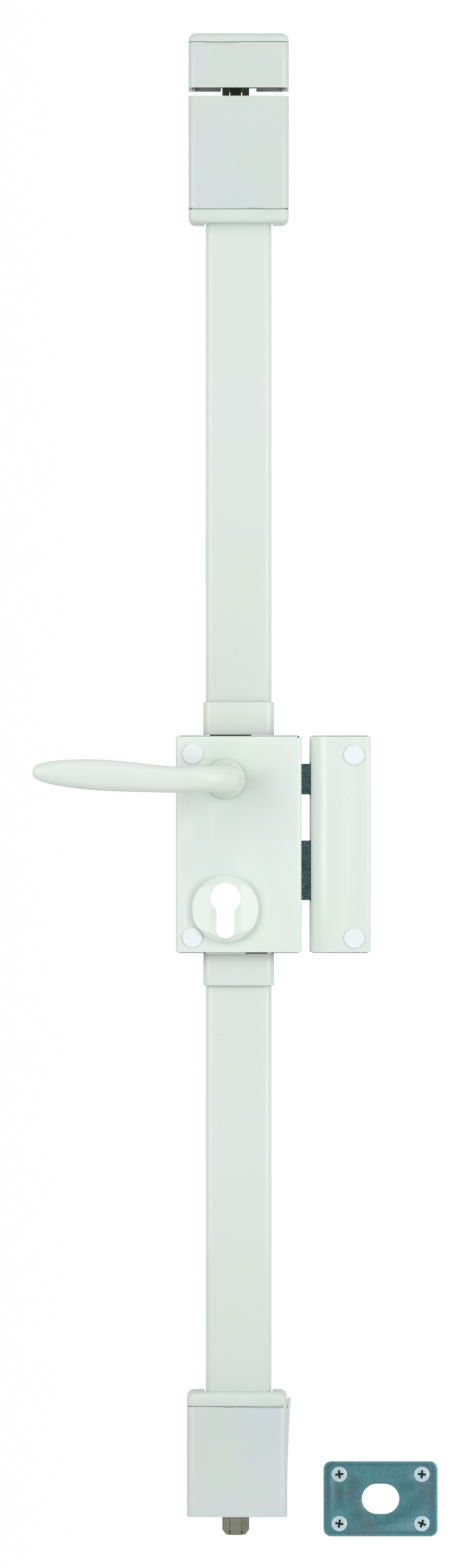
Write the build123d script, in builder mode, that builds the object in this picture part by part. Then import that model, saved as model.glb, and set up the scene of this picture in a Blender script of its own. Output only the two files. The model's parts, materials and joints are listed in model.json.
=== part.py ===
from build123d import *
from math import acos, atan2, cos, pi, radians, sin, sqrt, tan
import os

# A multipoint rim lock: a surface lock case with its lever, two cover strips
# with rods and end boxes, a top strike, a side keeper and a floor plate.
# Millimetres. The door face is Y = 0 and the lock faces -Y. +X points at the
# keeper, +Z up along the rods. The origin is the centre of the case's back.

# Sheet, plate and clearances
cover_sheet = 1.5
base_plate = 2.0
slip_gap = 0.15
running_gap = 0.3
edge_reveal = 0.4
seam_gap = 0.4
wall_gap = 0.5
overshoot = 0.5

# Lock case
case_width = 74.0
case_height = 128.0
case_depth = 32.0
case_bend = 2.5
case_nick_x = 35.1
case_nick = 0.9
lock_axis_x = -7.8
spindle_z = 38.4
cylinder_up = 32.4
cylinder_z = cylinder_up - case_height / 2

# Euro profile opening and its rosette
profile_head_r = 8.85
profile_stem = 10.6
profile_height = 33.0
rosette_r = 19.5
rosette_thick = 6.0
rosette_drop = 6.4
rosette_band = 9.1
rosette_rim = 3.0
rosette_rim_drop = 2.4
rosette_edge = 2.4

# Cap plugs over the fixing holes
plug_r = 5.95
plug_dome = 1.5
plug_rim = 0.6
plug_stem_r = 4.3
plug_stem = 4.0
plug_wall = 1.0
plug_hole_r = 4.45
case_plug_inset = 9.8
case_plug_end = 10.0
case_plug_x = case_plug_inset - case_width / 2
case_plug_z = -0.9
case_plug_spacing = case_height - 2 * case_plug_end
sleeve_r = 4.0
fixing_hole_r = 2.6
sleeve_setback = 8.0

# Small countersunk screws that hold the covers
screw_r = 1.5
screw_head_r = 2.6
screw_length = 3.9
screw_slot = 0.7
screw_slot_deep = 0.6
screw_fit = 0.05
screw_head_half = 40.0
cover_screw_depth = 7.0
case_screw_end = 24.0
case_screw_z = case_height / 2 - case_screw_end

# Latch and dead bolt
bolt_back = 14.0
bolt_thick = 10.0
latch_height = 18.0
latch_reach = 10.1
latch_length = 24.6
latch_bevel = 7.0
latch_lip = 1.5
dead_height = 35.0
dead_z = -15.45
dead_reach = 14.4
dead_length = 25.6
dead_nose = 1.0
throw = 14.0
fore_end = 2.0

# Latch drive
follower_r = 9.0
claw_arm = 15.0
claw_tip = 1.0
claw_half = 1.6
claw_thick = 3.0
claw_gap = 0.4
arm_height = 5.0
arm_root = 8.0
arm_clear = 0.6
hook_width = 2.4
hook_drop = 4.5
spindle_side = 8.0
spindle_fit = 0.1
spindle_slot_gap = 0.6
spindle_slot_room = 1.2
spindle_slot_corner = 1.0
bush_wall = 1.2
bush_flange = 2.4
spring_r = 3.2
spring_wire = 1.1
spring_wire_sides = 8
spring_turns = 5
spring_pocket = 19.5
spring_seat = 2.0
spring_seat_gap = 0.8

# Pinion and racks
gear_module = 1.5
gear_teeth = 12
pressure_angle = 25.0
addendum_share = 0.8
dedendum_share = 1.05
backlash = 0.3
tooth_sink = 0.1
pinion_x = 1.2
pinion_z = 2.0
pinion_overhang = 0.5
stud_r = 3.0
stud_proud = 3.0
stud_shoulder = 2.0
clip_thick = 1.0
stud_fit = 0.05
rack_thick = 3.0
rack_back_x = -17.0
web_inset = 29.5
web_bottom_z = 27.6
lower_bar_right_x = 17.0
lower_bar_left_x = 4.0
lower_bar_top_z = -24.0
lower_jog_z = -73.0
rack_overlap = 22.0
tail_thick = 3.0
tail_arm = 7.0
tail_link = 4.6
tail_foot = 10.0
cam_arm_top_z = -9.6
cam_arm_bottom_z = -18.6
cam_notch = 9.0
cam_notch_deep = 3.6

# Rods
rod_x = -1.7
rod_depth = 13.0
rod_width = 15.0
rod_thick = 4.0
rod_start = 74.0
rod_end_r = 8.0
rod_end_length = 58.0
rod_end_chamfer = 3.0
rod_end_tip_r = 6.0
slit_x = 3.5
slit_width = 0.5
slit_deep = 1.5
top_rod_tip_z = 457.0
bottom_rod_tip_z = -408.0
fork_deep = 16.0
pin_r = 2.5
rivet_r = 2.0
rivet_head_r = 3.4
rivet_head = 1.1
first_rivet = 10.0
rivet_pitch = 8.0
rivet_edge = 4.0

# Collars and cover strips
collar_width = 41.6
collar_depth = 24.5
collar_radius = 5.0
collar_sheet = 1.3
collar_gap = 0.5
upper_collar_z = 83.9
lower_collar_z = -83.4
collar_corner = 1.0
strip_width = 38.6
strip_depth = 22.0
strip_radius = 4.0
strip_sheet = 1.2
strip_start = 70.0
strip_entry = 4.0
guide_height = 14.0
guide_count = 2
guide_hole_r = 2.1

# Top and bottom boxes, top strike
box_width = 59.0
box_depth = 30.0
box_radius = 4.5
box_hole_spacing_x = 42.0
box_hole_r = 2.25
box_hole_shares = (0.25, 0.8)
base_leg = 12.0
cap_height = 8.0
cap_corner = 3.9
cap_wall = 2.2
cap_lug = 4.0
cap_slot_gap = 0.9
top_box_low = 374.3
top_box_high = 441.0
bottom_box_x = -0.95
bottom_box_high = -331.2
bottom_box_low = -396.4
bottom_seam_slant = 1.1
flare_out = 2.2
flare_length = 32.0
flare_ear = 3.0
strike_low = 445.9
strike_high = 472.8
strike_cap_height = 5.3
strike_cap_corner = 4.2
strike_notch_width = 21.0
strike_notch_high = 2.0
strike_bridge_z = 452.0
strike_hole_edge = 5.0

# Side keeper
keeper_width = 35.8
keeper_gap = 5.0
keeper_x = case_width / 2 + keeper_gap + keeper_width / 2
keeper_depth = 31.0
keeper_bend = 2.4
keeper_ramp_x = 9.4
keeper_ramp_deep = 7.0
keeper_plug_out = 8.1
keeper_plug_end = 10.05
keeper_plug_x = keeper_x + keeper_plug_out
keeper_plug_z = -1.45
keeper_plug_spacing = case_height - 2 * keeper_plug_end
keeper_screw_z = 12.0
keeper_corner = 2.2

# Floor plate, standing by itself in the door plane
plate_x = 84.1
plate_z = -388.2
plate_width = 67.5
plate_height = 44.3
plate_thick = 3.0
plate_corner = 4.5
plate_rim = 0.8
plate_slot_length = 22.2
plate_slot_width = 18.1
plate_screw_dx = 48.9
plate_screw_dz = 29.2
wood_head_r = 4.6
wood_head = 2.6
wood_neck_r = 2.1
wood_shank_r = 1.9
wood_length = 16.0
countersink_half = 42.0
cross_length = 4.6
cross_width = 1.1
cross_deep = 1.3
cross_floor = 0.2

# Lever: x of each section of the grip, its middle height and half heights
lever_hub_r = 12.0
lever_neck_r = 8.6
lever_neck_swell = 0.6
lever_elbow_shares = (0.33, 0.66)
lever_elbow_slim = (0.5, 0.6)
lever_neck = 16.0
lever_out = 40.0
lever_elbow = 17.0
lever_tip_x = -120.6
lever_tip_z = 42.4
lever_tip_half = (1.6, 1.2)
lever_face_gap = 0.3
lever_root_r = 8.0
grub_r = 2.0
grub_length = 4.0
grip_flatness = 0.78
grip_sections = (
    (-37.0, 37.8, 7.7),
    (-50.0, 38.7, 8.2),
    (-65.0, 39.8, 9.0),
    (-80.0, 40.7, 9.4),
    (-95.0, 41.4, 8.8),
    (-107.0, 42.0, 7.4),
    (-115.0, 42.3, 5.7),
    (-119.4, 42.4, 3.7),
)

# Worked out from the values above
case_top = case_height / 2
case_right = case_width / 2
inner_top = case_top - base_plate
bolt_front = bolt_back + bolt_thick
rack_front = rod_depth - rod_thick / 2
rack_back = rack_front - rack_thick
pitch_r = gear_module * gear_teeth / 2
rack_pitch = pi * gear_module
addendum = addendum_share * gear_module
dedendum = dedendum_share * gear_module
slot_half = spindle_side / sqrt(2) + spindle_slot_gap
claw_depth = bolt_back + (bolt_thick - claw_thick) / 2
parts_folder = "parts"

os.makedirs(parts_folder, exist_ok=True)


def front_plane(depth):
    """The plane at this depth in front of the door, seen as X and Z, growing towards the viewer."""
    return Plane.XZ.offset(depth)


def front_rounded(width, depth, radius):
    """A section seen from above: flat at the door, its two front corners rounded."""
    with BuildSketch() as outline:
        Rectangle(width, depth, align=(Align.CENTER, Align.MAX))
        fillet(outline.vertices().group_by(Axis.Y)[0], radius)
    return outline.sketch


def folded_shell(centre_x, width, depth, radius, sheet, low, high):
    """A sheet folded to a U that opens to the door, from one height to another."""
    with BuildPart() as shell:
        with BuildSketch(Plane.XY.offset(low)):
            with Locations((centre_x, 0)):
                add(front_rounded(width, depth, radius))
                add(front_rounded(width - 2 * sheet, depth - sheet, radius - sheet), mode=Mode.SUBTRACT)
        extrude(amount=high - low)
    return shell.part


def profile_opening(extra):
    """The euro profile: a round head with a narrower stem below it."""
    stem_r = profile_stem / 2 + extra
    stem_end = profile_head_r - profile_height + profile_stem / 2
    with BuildSketch() as opening:
        with Locations((lock_axis_x, cylinder_z)):
            Circle(profile_head_r + extra)
        with Locations((lock_axis_x, cylinder_z + stem_end)):
            Circle(stem_r)
        with Locations((lock_axis_x, cylinder_z + stem_end / 2)):
            Rectangle(2 * stem_r, -stem_end)
    return opening.sketch


def channel_base(centre_x, width, low, high):
    """A base plate with two short legs, folded from one sheet."""
    with BuildPart() as base:
        with BuildSketch(Plane.XY.offset(low)):
            with Locations((centre_x, 0)):
                Rectangle(width, base_leg, align=(Align.CENTER, Align.MAX))
            with Locations((centre_x, -base_plate)):
                Rectangle(width - 2 * base_plate, base_leg, align=(Align.CENTER, Align.MAX), mode=Mode.SUBTRACT)
        extrude(amount=high - low)
    return base.part


def end_cap(centre_x, low, high, corner, mouth, lug_up, with_slot):
    """A moulded cap that closes a cover's end, hollow, with a lug that enters the cover."""
    height = high - low
    outer_z = low if lug_up else high
    mouth_z = high if lug_up else low
    sign = 1 if lug_up else -1
    inner_width = box_width - 2 * cap_wall
    inner_depth = box_depth - cap_wall
    lug_width = box_width - 2 * (cover_sheet + slip_gap)
    lug_depth = box_depth - cover_sheet - slip_gap
    with BuildPart() as cap:
        with BuildSketch(Plane.XY.offset(low)):
            with Locations((centre_x, 0)):
                add(front_rounded(box_width, box_depth, box_radius))
        extrude(amount=height)
        outer_face = cap.faces().filter_by(Axis.Z).sort_by(Axis.Z)[0 if lug_up else -1]
        rim = outer_face.edges().filter_by_position(Axis.Y, -box_depth - 1, -0.01)
        fillet(rim, corner)
        with BuildSketch(Plane.XY.offset(mouth_z)):
            with Locations((centre_x, 0)):
                add(front_rounded(lug_width, lug_depth, box_radius - cover_sheet))
        extrude(amount=sign * mouth)
        with BuildSketch(Plane.XY.offset(outer_z + sign * cap_wall)):
            with Locations((centre_x, -base_plate)):
                add(front_rounded(inner_width - 2 * cap_wall, inner_depth - base_plate - cap_wall, cap_wall))
        extrude(amount=sign * (height + mouth), mode=Mode.SUBTRACT)
        if with_slot:
            slot_width = strip_width + 2 * cap_slot_gap
            with BuildSketch(Plane.XY.offset(min(low, high) - mouth)):
                add(front_rounded(slot_width, strip_depth + slip_gap, strip_radius))
            extrude(amount=height + 2 * mouth, mode=Mode.SUBTRACT)
    return cap.part


def side_screws(places):
    """Countersunk screws that enter from the side. Each place is x, depth, z and the way the head faces."""
    with BuildPart() as screws:
        for x, depth, z, side in places:
            head = Plane(origin=(x, -depth, z), x_dir=(0, 0, 1), z_dir=(side, 0, 0))
            with BuildSketch(head):
                Circle(screw_head_r)
            extrude(amount=-cover_sheet, taper=screw_head_half)
            with BuildSketch(head.offset(-cover_sheet / 2)):
                Circle(screw_r)
            extrude(amount=-(screw_length - cover_sheet / 2))
            with BuildSketch(head):
                Rectangle(screw_slot, 2 * screw_head_r)
            extrude(amount=-screw_slot_deep, mode=Mode.SUBTRACT)
    return screws.part


def screw_holes(places):
    """The countersunk holes that the side screws sit in."""
    with BuildPart() as holes:
        for x, depth, z, side in places:
            head = Plane(origin=(x, -depth, z), x_dir=(0, 0, 1), z_dir=(side, 0, 0))
            with BuildSketch(head):
                Circle(screw_head_r + screw_fit)
            extrude(amount=-cover_sheet, taper=screw_head_half)
            with BuildSketch(head):
                Circle(screw_r + screw_fit)
            extrude(amount=-(screw_length + wall_gap))
    return holes.part


def rack_spaces(first, last):
    """The gaps between rack teeth, cut into an edge along the local X axis with the teeth pointing to -Y."""
    half_pitch = (rack_pitch / 2 + backlash) / 2
    slope = tan(radians(pressure_angle))
    outer = half_pitch + (addendum + overshoot) * slope
    inner = half_pitch - dedendum * slope
    with BuildSketch() as spaces:
        for count in range(first, last + 1):
            with Locations((count * rack_pitch, 0)):
                Polygon(
                    (-outer, -addendum - overshoot),
                    (outer, -addendum - overshoot),
                    (inner, dedendum),
                    (-inner, dedendum),
                    align=None,
                )
    return spaces.sketch


def cap_plugs(places, face_depth):
    """Domed plastic plugs with a short stem."""
    with BuildPart() as plugs:
        for x, z in places:
            with BuildSketch(front_plane(face_depth - cover_sheet - plug_stem)):
                with Locations((x, z)):
                    Circle(plug_stem_r)
                    Circle(plug_stem_r - plug_wall, mode=Mode.SUBTRACT)
            extrude(amount=cover_sheet + plug_stem)
            with BuildSketch(front_plane(face_depth)):
                with Locations((x, z)):
                    Circle(plug_r)
            extrude(amount=plug_dome)
        rims = plugs.edges().filter_by(GeomType.CIRCLE).group_by(Axis.Y)[0]
        fillet(rims, plug_dome - plug_rim)
    return plugs.part


def fixing_sleeves(places, front_depth):
    """Tubes between the base plate and the head of a fixing screw."""
    with BuildPart() as sleeves:
        for x, z in places:
            with BuildSketch(front_plane(base_plate)):
                with Locations((x, z)):
                    Circle(sleeve_r)
                    Circle(fixing_hole_r, mode=Mode.SUBTRACT)
            extrude(amount=front_depth - base_plate)
    return sleeves.part


def rivet_set(places, back, front):
    """Round-headed rivets through a stack of plates."""
    with BuildPart() as rivets:
        for x, z in places:
            with BuildSketch(front_plane(back)):
                with Locations((x, z)):
                    Circle(rivet_r)
            extrude(amount=front - back)
            with BuildSketch(front_plane(back - rivet_head)):
                with Locations((x, z)):
                    Circle(rivet_head_r)
            extrude(amount=rivet_head)
            with BuildSketch(front_plane(front)):
                with Locations((x, z)):
                    Circle(rivet_head_r)
            extrude(amount=rivet_head)
    return rivets.part


def save(builder, name):
    """Label a finished piece and write it."""
    builder.part.label = name
    export_step(builder.part, f"{parts_folder}/{name}.step")


case_plugs = [
    (case_plug_x, case_plug_z + case_plug_spacing / 2),
    (case_plug_x, case_plug_z - case_plug_spacing / 2),
]
case_screw_places = [
    (side * case_right, cover_screw_depth, end * case_screw_z, side)
    for side in (-1, 1)
    for end in (-1, 1)
]

# The lock case's base: a back plate with an end flange at the top and bottom
mouth_width = collar_width - 2 * collar_sheet
mouth_back = rack_back - running_gap
mouth_front = collar_depth - collar_sheet
base_width = case_width - 2 * (cover_sheet + slip_gap)
with BuildPart() as case_base:
    with BuildSketch(front_plane(0)):
        Rectangle(base_width, case_height)
        add(profile_opening(wall_gap), mode=Mode.SUBTRACT)
        with Locations((lock_axis_x, spindle_z)):
            Circle(slot_half + bush_wall, mode=Mode.SUBTRACT)
        with Locations(*case_plugs):
            Circle(fixing_hole_r, mode=Mode.SUBTRACT)
    extrude(amount=base_plate)
    for flange_low in (case_top - base_plate, -case_top):
        with BuildSketch(Plane.XY.offset(flange_low)):
            add(front_rounded(base_width, case_depth - cover_sheet - slip_gap, case_bend - cover_sheet))
            with Locations((0, -(mouth_back + mouth_front) / 2)):
                Rectangle(mouth_width, mouth_front - mouth_back, mode=Mode.SUBTRACT)
        extrude(amount=base_plate)
    for side in (-1, 1):
        ear_x = side * (base_width / 2 - base_plate / 2)
        for end in (-1, 1):
            with BuildSketch(front_plane(0)):
                with Locations((ear_x, end * case_screw_z)):
                    Rectangle(base_plate, 4 * screw_head_r)
            extrude(amount=cover_screw_depth + 2 * screw_head_r)
    add(screw_holes(case_screw_places), mode=Mode.SUBTRACT)
save(case_base, "case_base")

# The case cover: one sheet folded round both sides, with its openings
latch_window = latch_height + 2 * running_gap
dead_window = dead_height + 2 * running_gap
bolt_window = bolt_thick + 2 * running_gap
window_depth = bolt_back + bolt_thick / 2
lever_bore_r = lever_root_r + running_gap + bush_wall
with BuildPart() as case_cover:
    add(
        folded_shell(
            0, case_width, case_depth, case_bend, cover_sheet, -case_top + edge_reveal, case_top - edge_reveal
        )
    )
    with BuildSketch(front_plane(case_depth - cover_sheet - 1)):
        add(profile_opening(wall_gap))
        with Locations((lock_axis_x, spindle_z)):
            Circle(lever_bore_r)
        with Locations(*case_plugs):
            Circle(plug_hole_r)
        with Locations((case_nick_x, case_top - edge_reveal)):
            Rectangle(case_nick, 2 * case_nick)
    extrude(amount=cover_sheet + 2, mode=Mode.SUBTRACT)
    with BuildSketch(Plane.YZ.offset(case_right - cover_sheet - 1)):
        with Locations((-window_depth, spindle_z)):
            Rectangle(bolt_window, latch_window)
        with Locations((-window_depth, dead_z)):
            Rectangle(bolt_window, dead_window)
    extrude(amount=cover_sheet + 2, mode=Mode.SUBTRACT)
    add(screw_holes(case_screw_places), mode=Mode.SUBTRACT)
save(case_cover, "case_cover")

with BuildPart() as case_screws:
    add(side_screws(case_screw_places))
save(case_screws, "case_cover_screws")

with BuildPart() as case_sleeves:
    add(fixing_sleeves(case_plugs, case_depth - sleeve_setback))
save(case_sleeves, "case_fixing_sleeves")

with BuildPart() as case_cap_plugs:
    add(cap_plugs(case_plugs, case_depth))
save(case_cap_plugs, "case_cap_plugs")

# The fore-end plate guides both bolts just inside the case's right wall
fore_end_x = case_right - cover_sheet - slip_gap - base_plate - wall_gap - fore_end
with BuildPart() as fore_end_plate:
    with BuildSketch(Plane.YZ.offset(fore_end_x)):
        with Locations((-base_plate - (case_depth - cover_sheet - base_plate - slip_gap) / 2, 0)):
            Rectangle(
                case_depth - cover_sheet - base_plate - slip_gap,
                2 * (inner_top - slip_gap),
            )
        with Locations((-window_depth, spindle_z)):
            Rectangle(bolt_window - running_gap, latch_window - running_gap, mode=Mode.SUBTRACT)
        with Locations((-window_depth, dead_z)):
            Rectangle(bolt_window - running_gap, dead_window - running_gap, mode=Mode.SUBTRACT)
    extrude(amount=fore_end)
save(fore_end_plate, "fore_end_plate")

# The cylinder rosette: a disc with a raised middle band, sloping sides and a chamfered rim
with BuildPart() as cylinder_rosette:
    with BuildSketch(front_plane(case_depth)):
        with Locations((lock_axis_x, cylinder_z - rosette_drop)):
            Circle(rosette_r)
    extrude(amount=rosette_thick)
    rim = cylinder_rosette.edges().filter_by(GeomType.CIRCLE).sort_by(Axis.Y)[0]
    chamfer(rim, rosette_rim_drop, rosette_rim)
    front_y = -case_depth - rosette_thick
    facet_low = cylinder_z - rosette_drop - rosette_r - 1
    for side in (-1, 1):
        with BuildSketch(Plane.XY.offset(facet_low)):
            Polygon(
                (lock_axis_x + side * rosette_band, front_y),
                (lock_axis_x + side * (rosette_r + overshoot), -case_depth - rosette_edge),
                (lock_axis_x + side * (rosette_r + overshoot), front_y - 1),
                (lock_axis_x + side * rosette_band, front_y - 1),
                align=None,
            )
        extrude(amount=2 * rosette_r + 2, mode=Mode.SUBTRACT)
    with BuildSketch(front_plane(case_depth - 1)):
        add(profile_opening(0))
    extrude(amount=rosette_thick + 2, mode=Mode.SUBTRACT)
save(cylinder_rosette, "cylinder_rosette")

# The pinion's stud, welded on the base plate, with a clip in front of the pinion
pinion_back = rack_back - pinion_overhang
pinion_front = bolt_back + tail_thick + pinion_overhang
with BuildPart() as pinion_stud:
    with BuildSketch(front_plane(base_plate)):
        with Locations((pinion_x, pinion_z)):
            Circle(stud_r)
    extrude(amount=pinion_front + stud_proud - base_plate)
    with BuildSketch(front_plane(base_plate)):
        with Locations((pinion_x, pinion_z)):
            Circle(stud_r + stud_shoulder)
    extrude(amount=pinion_back - running_gap - base_plate)
save(pinion_stud, "pinion_stud")

with BuildPart() as pinion_clip:
    with BuildSketch(front_plane(pinion_front + running_gap)):
        with Locations((pinion_x, pinion_z)):
            Circle(stud_r + stud_shoulder)
            Circle(stud_r, mode=Mode.SUBTRACT)
    extrude(amount=clip_thick)
save(pinion_clip, "pinion_clip")

# The transfer pinion meshes with both rod racks and with the dead bolt's tail
base_r = pitch_r * cos(radians(pressure_angle))
tip_r = pitch_r + addendum
root_r = pitch_r - dedendum


def involute(angle):
    """The involute function of a pressure angle in radians."""
    return tan(angle) - angle


def flank(steps, side):
    """Points of one tooth flank from the base circle to the tip, about the tooth's middle line."""
    points = []
    for step in range(steps + 1):
        radius = base_r + (tip_r - base_r) * step / steps
        here = involute(acos(base_r / radius))
        angle = pi / (2 * gear_teeth) + involute(radians(pressure_angle)) - here
        points.append((radius * cos(angle), side * radius * sin(angle)))
    return points


with BuildPart() as transfer_pinion:
    with BuildSketch(front_plane(pinion_back)) as pinion_face:
        with Locations((pinion_x, pinion_z)):
            Circle(root_r)
        lower_flank = flank(5, -1)
        upper_flank = flank(5, 1)
        tooth_root = sqrt(root_r**2 - lower_flank[0][1] ** 2) - tooth_sink
        with BuildSketch(mode=Mode.PRIVATE) as tooth:
            with BuildLine():
                Polyline((tooth_root, lower_flank[0][1]), lower_flank[0])
                Spline(*lower_flank)
                Polyline(lower_flank[-1], upper_flank[-1])
                Spline(*upper_flank)
                Polyline(upper_flank[0], (tooth_root, upper_flank[0][1]))
                Polyline((tooth_root, upper_flank[0][1]), (tooth_root, lower_flank[0][1]))
            make_face()
        for count in range(gear_teeth):
            with Locations(Location((pinion_x, pinion_z, 0), (0, 0, count * 360 / gear_teeth))):
                add(tooth.sketch)
        with Locations((pinion_x, pinion_z)):
            Circle(stud_r + stud_fit, mode=Mode.SUBTRACT)
    extrude(amount=pinion_front - pinion_back)
save(transfer_pinion, "transfer_pinion")

# The upper rack plate runs past the spindle in a slot and meshes on the pinion's left
teeth_run = throw / rack_pitch
far_tooth = int(teeth_run) + 3
rack_end = 1.5 * rack_pitch + rack_pitch / 4
left_pitch_x = pinion_x - pitch_r
right_pitch_x = pinion_x + pitch_r
top_pitch_z = pinion_z + pitch_r
upper_rack_top = rod_start + rack_overlap
upper_rack_low = pinion_z - rack_end
web_right_x = case_right - web_inset
slot_low = spindle_z - slot_half - spindle_slot_room
slot_high = spindle_z + slot_half + throw + spindle_slot_room
rod_rivets = (rod_start + first_rivet, rod_start + first_rivet + rivet_pitch)
with BuildPart() as upper_rack:
    with BuildSketch(front_plane(rack_back)):
        with Locations(((rack_back_x + web_right_x) / 2, (web_bottom_z + upper_rack_top) / 2)):
            Rectangle(web_right_x - rack_back_x, upper_rack_top - web_bottom_z)
        tooth_edge = left_pitch_x + addendum
        with Locations(((rack_back_x + tooth_edge) / 2, (upper_rack_low + web_bottom_z) / 2)):
            Rectangle(tooth_edge - rack_back_x, web_bottom_z - upper_rack_low)
        with Locations(Location((left_pitch_x, pinion_z, 0), (0, 0, 90))):
            add(rack_spaces(-1, far_tooth), mode=Mode.SUBTRACT)
        with Locations((lock_axis_x, (slot_low + slot_high) / 2)):
            RectangleRounded(2 * slot_half, slot_high - slot_low, spindle_slot_corner, mode=Mode.SUBTRACT)
        with Locations((rod_x, rod_rivets[0]), (rod_x, rod_rivets[1])):
            Circle(rivet_r, mode=Mode.SUBTRACT)
    extrude(amount=rack_thick)
save(upper_rack, "upper_rack")

# The lower rack plate passes right of the cylinder and meshes on the pinion's right
lower_rack_top = pinion_z + rack_end
jog_left = rod_x - rod_width / 2 - wall_gap
with BuildPart() as lower_rack:
    with BuildSketch(front_plane(rack_back)):
        low_edge = right_pitch_x - addendum
        with Locations(((low_edge + lower_bar_right_x) / 2, (lower_bar_top_z + lower_rack_top) / 2)):
            Rectangle(lower_bar_right_x - low_edge, lower_rack_top - lower_bar_top_z)
        with Locations(((lower_bar_left_x + lower_bar_right_x) / 2, (lower_bar_top_z - upper_rack_top) / 2)):
            Rectangle(lower_bar_right_x - lower_bar_left_x, lower_bar_top_z + upper_rack_top)
        with Locations(((jog_left + lower_bar_right_x) / 2, (lower_jog_z - upper_rack_top) / 2)):
            Rectangle(lower_bar_right_x - jog_left, upper_rack_top + lower_jog_z)
        with Locations(Location((right_pitch_x, pinion_z, 0), (0, 0, -90))):
            add(rack_spaces(-1, far_tooth), mode=Mode.SUBTRACT)
        with Locations((rod_x, -rod_rivets[0]), (rod_x, -rod_rivets[1])):
            Circle(rivet_r, mode=Mode.SUBTRACT)
    extrude(amount=rack_thick)
save(lower_rack, "lower_rack")

# The dead bolt: a steel block, with its tail plate let into its back
dead_tip = case_right + dead_reach
dead_heel = dead_tip - dead_length
dead_top = dead_z + dead_height / 2
tail_top = top_pitch_z - addendum + tail_arm
tail_right = dead_heel + tail_link
foot_right = dead_heel + tail_foot
foot_top = dead_top - base_plate
tail_rivet_x = foot_right - tail_foot / 2
tail_rivets = [(tail_rivet_x, foot_top - rivet_edge), (tail_rivet_x, cam_arm_bottom_z + rivet_edge)]
with BuildPart() as dead_bolt:
    with BuildSketch(front_plane(bolt_back)):
        with Locations(((dead_heel + dead_tip) / 2, dead_z)):
            Rectangle(dead_length, dead_height)
    extrude(amount=bolt_thick)
    with BuildSketch(front_plane(bolt_back)):
        with Locations((dead_heel + (tail_foot + slip_gap) / 2, (dead_top + cam_arm_bottom_z - slip_gap) / 2)):
            Rectangle(tail_foot + slip_gap, dead_top - cam_arm_bottom_z + slip_gap)
    extrude(amount=tail_thick, mode=Mode.SUBTRACT)
    with BuildSketch(front_plane(bolt_back)):
        with Locations(*tail_rivets):
            Circle(rivet_r)
    extrude(amount=bolt_thick, mode=Mode.SUBTRACT)
    nose = dead_bolt.edges().filter_by(Axis.Z).group_by(Axis.X)[-1]
    chamfer(nose, dead_nose)
save(dead_bolt, "dead_bolt")

with BuildPart() as dead_bolt_tail:
    with BuildSketch(front_plane(bolt_back)):
        rack_left = pinion_x - rack_end
        cam_left = lock_axis_x - cam_notch / 2 - 5
        with Locations(((rack_left + tail_right) / 2, tail_top - tail_arm / 2)):
            Rectangle(tail_right - rack_left, tail_arm)
        with Locations(((dead_heel + tail_right) / 2, (tail_top + cam_arm_bottom_z) / 2)):
            Rectangle(tail_link, tail_top - cam_arm_bottom_z)
        with Locations((dead_heel + tail_foot / 2, (foot_top + cam_arm_bottom_z) / 2)):
            Rectangle(tail_foot, foot_top - cam_arm_bottom_z)
        with Locations(((cam_left + tail_right) / 2, (cam_arm_top_z + cam_arm_bottom_z) / 2)):
            Rectangle(tail_right - cam_left, cam_arm_top_z - cam_arm_bottom_z)
        with Locations((lock_axis_x, cam_arm_bottom_z + cam_notch_deep / 2)):
            Rectangle(cam_notch, cam_notch_deep, mode=Mode.SUBTRACT)
        with Locations((pinion_x, top_pitch_z)):
            add(rack_spaces(-1, far_tooth), mode=Mode.SUBTRACT)
        with Locations(*tail_rivets):
            Circle(rivet_r, mode=Mode.SUBTRACT)
    extrude(amount=tail_thick)
save(dead_bolt_tail, "dead_bolt_tail")

with BuildPart() as bolt_rivets:
    with BuildSketch(front_plane(bolt_back)):
        with Locations(*tail_rivets):
            Circle(rivet_r)
    extrude(amount=bolt_thick)
save(bolt_rivets, "dead_bolt_rivets")

# The latch bolt: a bevelled block with a pull arm that hooks over the follower's claw
latch_tip = case_right + latch_reach
latch_heel = latch_tip - latch_length
claw_top = spindle_z + claw_arm + claw_tip
arm_low = claw_top + arm_clear
hook_right = lock_axis_x - claw_half - claw_gap
spring_bore_r = spring_r + wall_gap
with BuildPart() as latch_bolt:
    with BuildSketch(Plane.XY.offset(spindle_z - latch_height / 2)):
        Polygon(
            (latch_heel, -bolt_back),
            (latch_tip - latch_bevel, -bolt_back),
            (latch_tip, -bolt_front + latch_lip),
            (latch_tip, -bolt_front),
            (latch_heel, -bolt_front),
            align=None,
        )
    extrude(amount=latch_height)
    with BuildSketch(front_plane(claw_depth)):
        with Locations((latch_heel + arm_root / 2, (spindle_z + arm_low + arm_height) / 2)):
            Rectangle(arm_root, arm_low + arm_height - spindle_z)
        with Locations(((hook_right + latch_heel + arm_root) / 2, arm_low + arm_height / 2)):
            Rectangle(latch_heel + arm_root - hook_right, arm_height)
        with Locations((hook_right - hook_width / 2, arm_low + (arm_height - hook_drop) / 2)):
            Rectangle(hook_width, arm_height + hook_drop)
    extrude(amount=claw_thick)
    with BuildSketch(Plane.YZ.offset(latch_heel)):
        with Locations((-window_depth, spindle_z)):
            Circle(spring_bore_r)
    extrude(amount=spring_pocket, mode=Mode.SUBTRACT)
save(latch_bolt, "latch_bolt")

# The seat that the latch spring pushes against stands on the base plate
seat_right = latch_heel - latch_reach - spring_seat_gap
with BuildPart() as latch_spring_seat:
    with BuildSketch(Plane.YZ.offset(seat_right - spring_seat)):
        with Locations((-(base_plate + bolt_front) / 2, spindle_z)):
            Rectangle(bolt_front - base_plate, latch_height / 2)
    extrude(amount=spring_seat)
save(latch_spring_seat, "latch_spring_seat")

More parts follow.
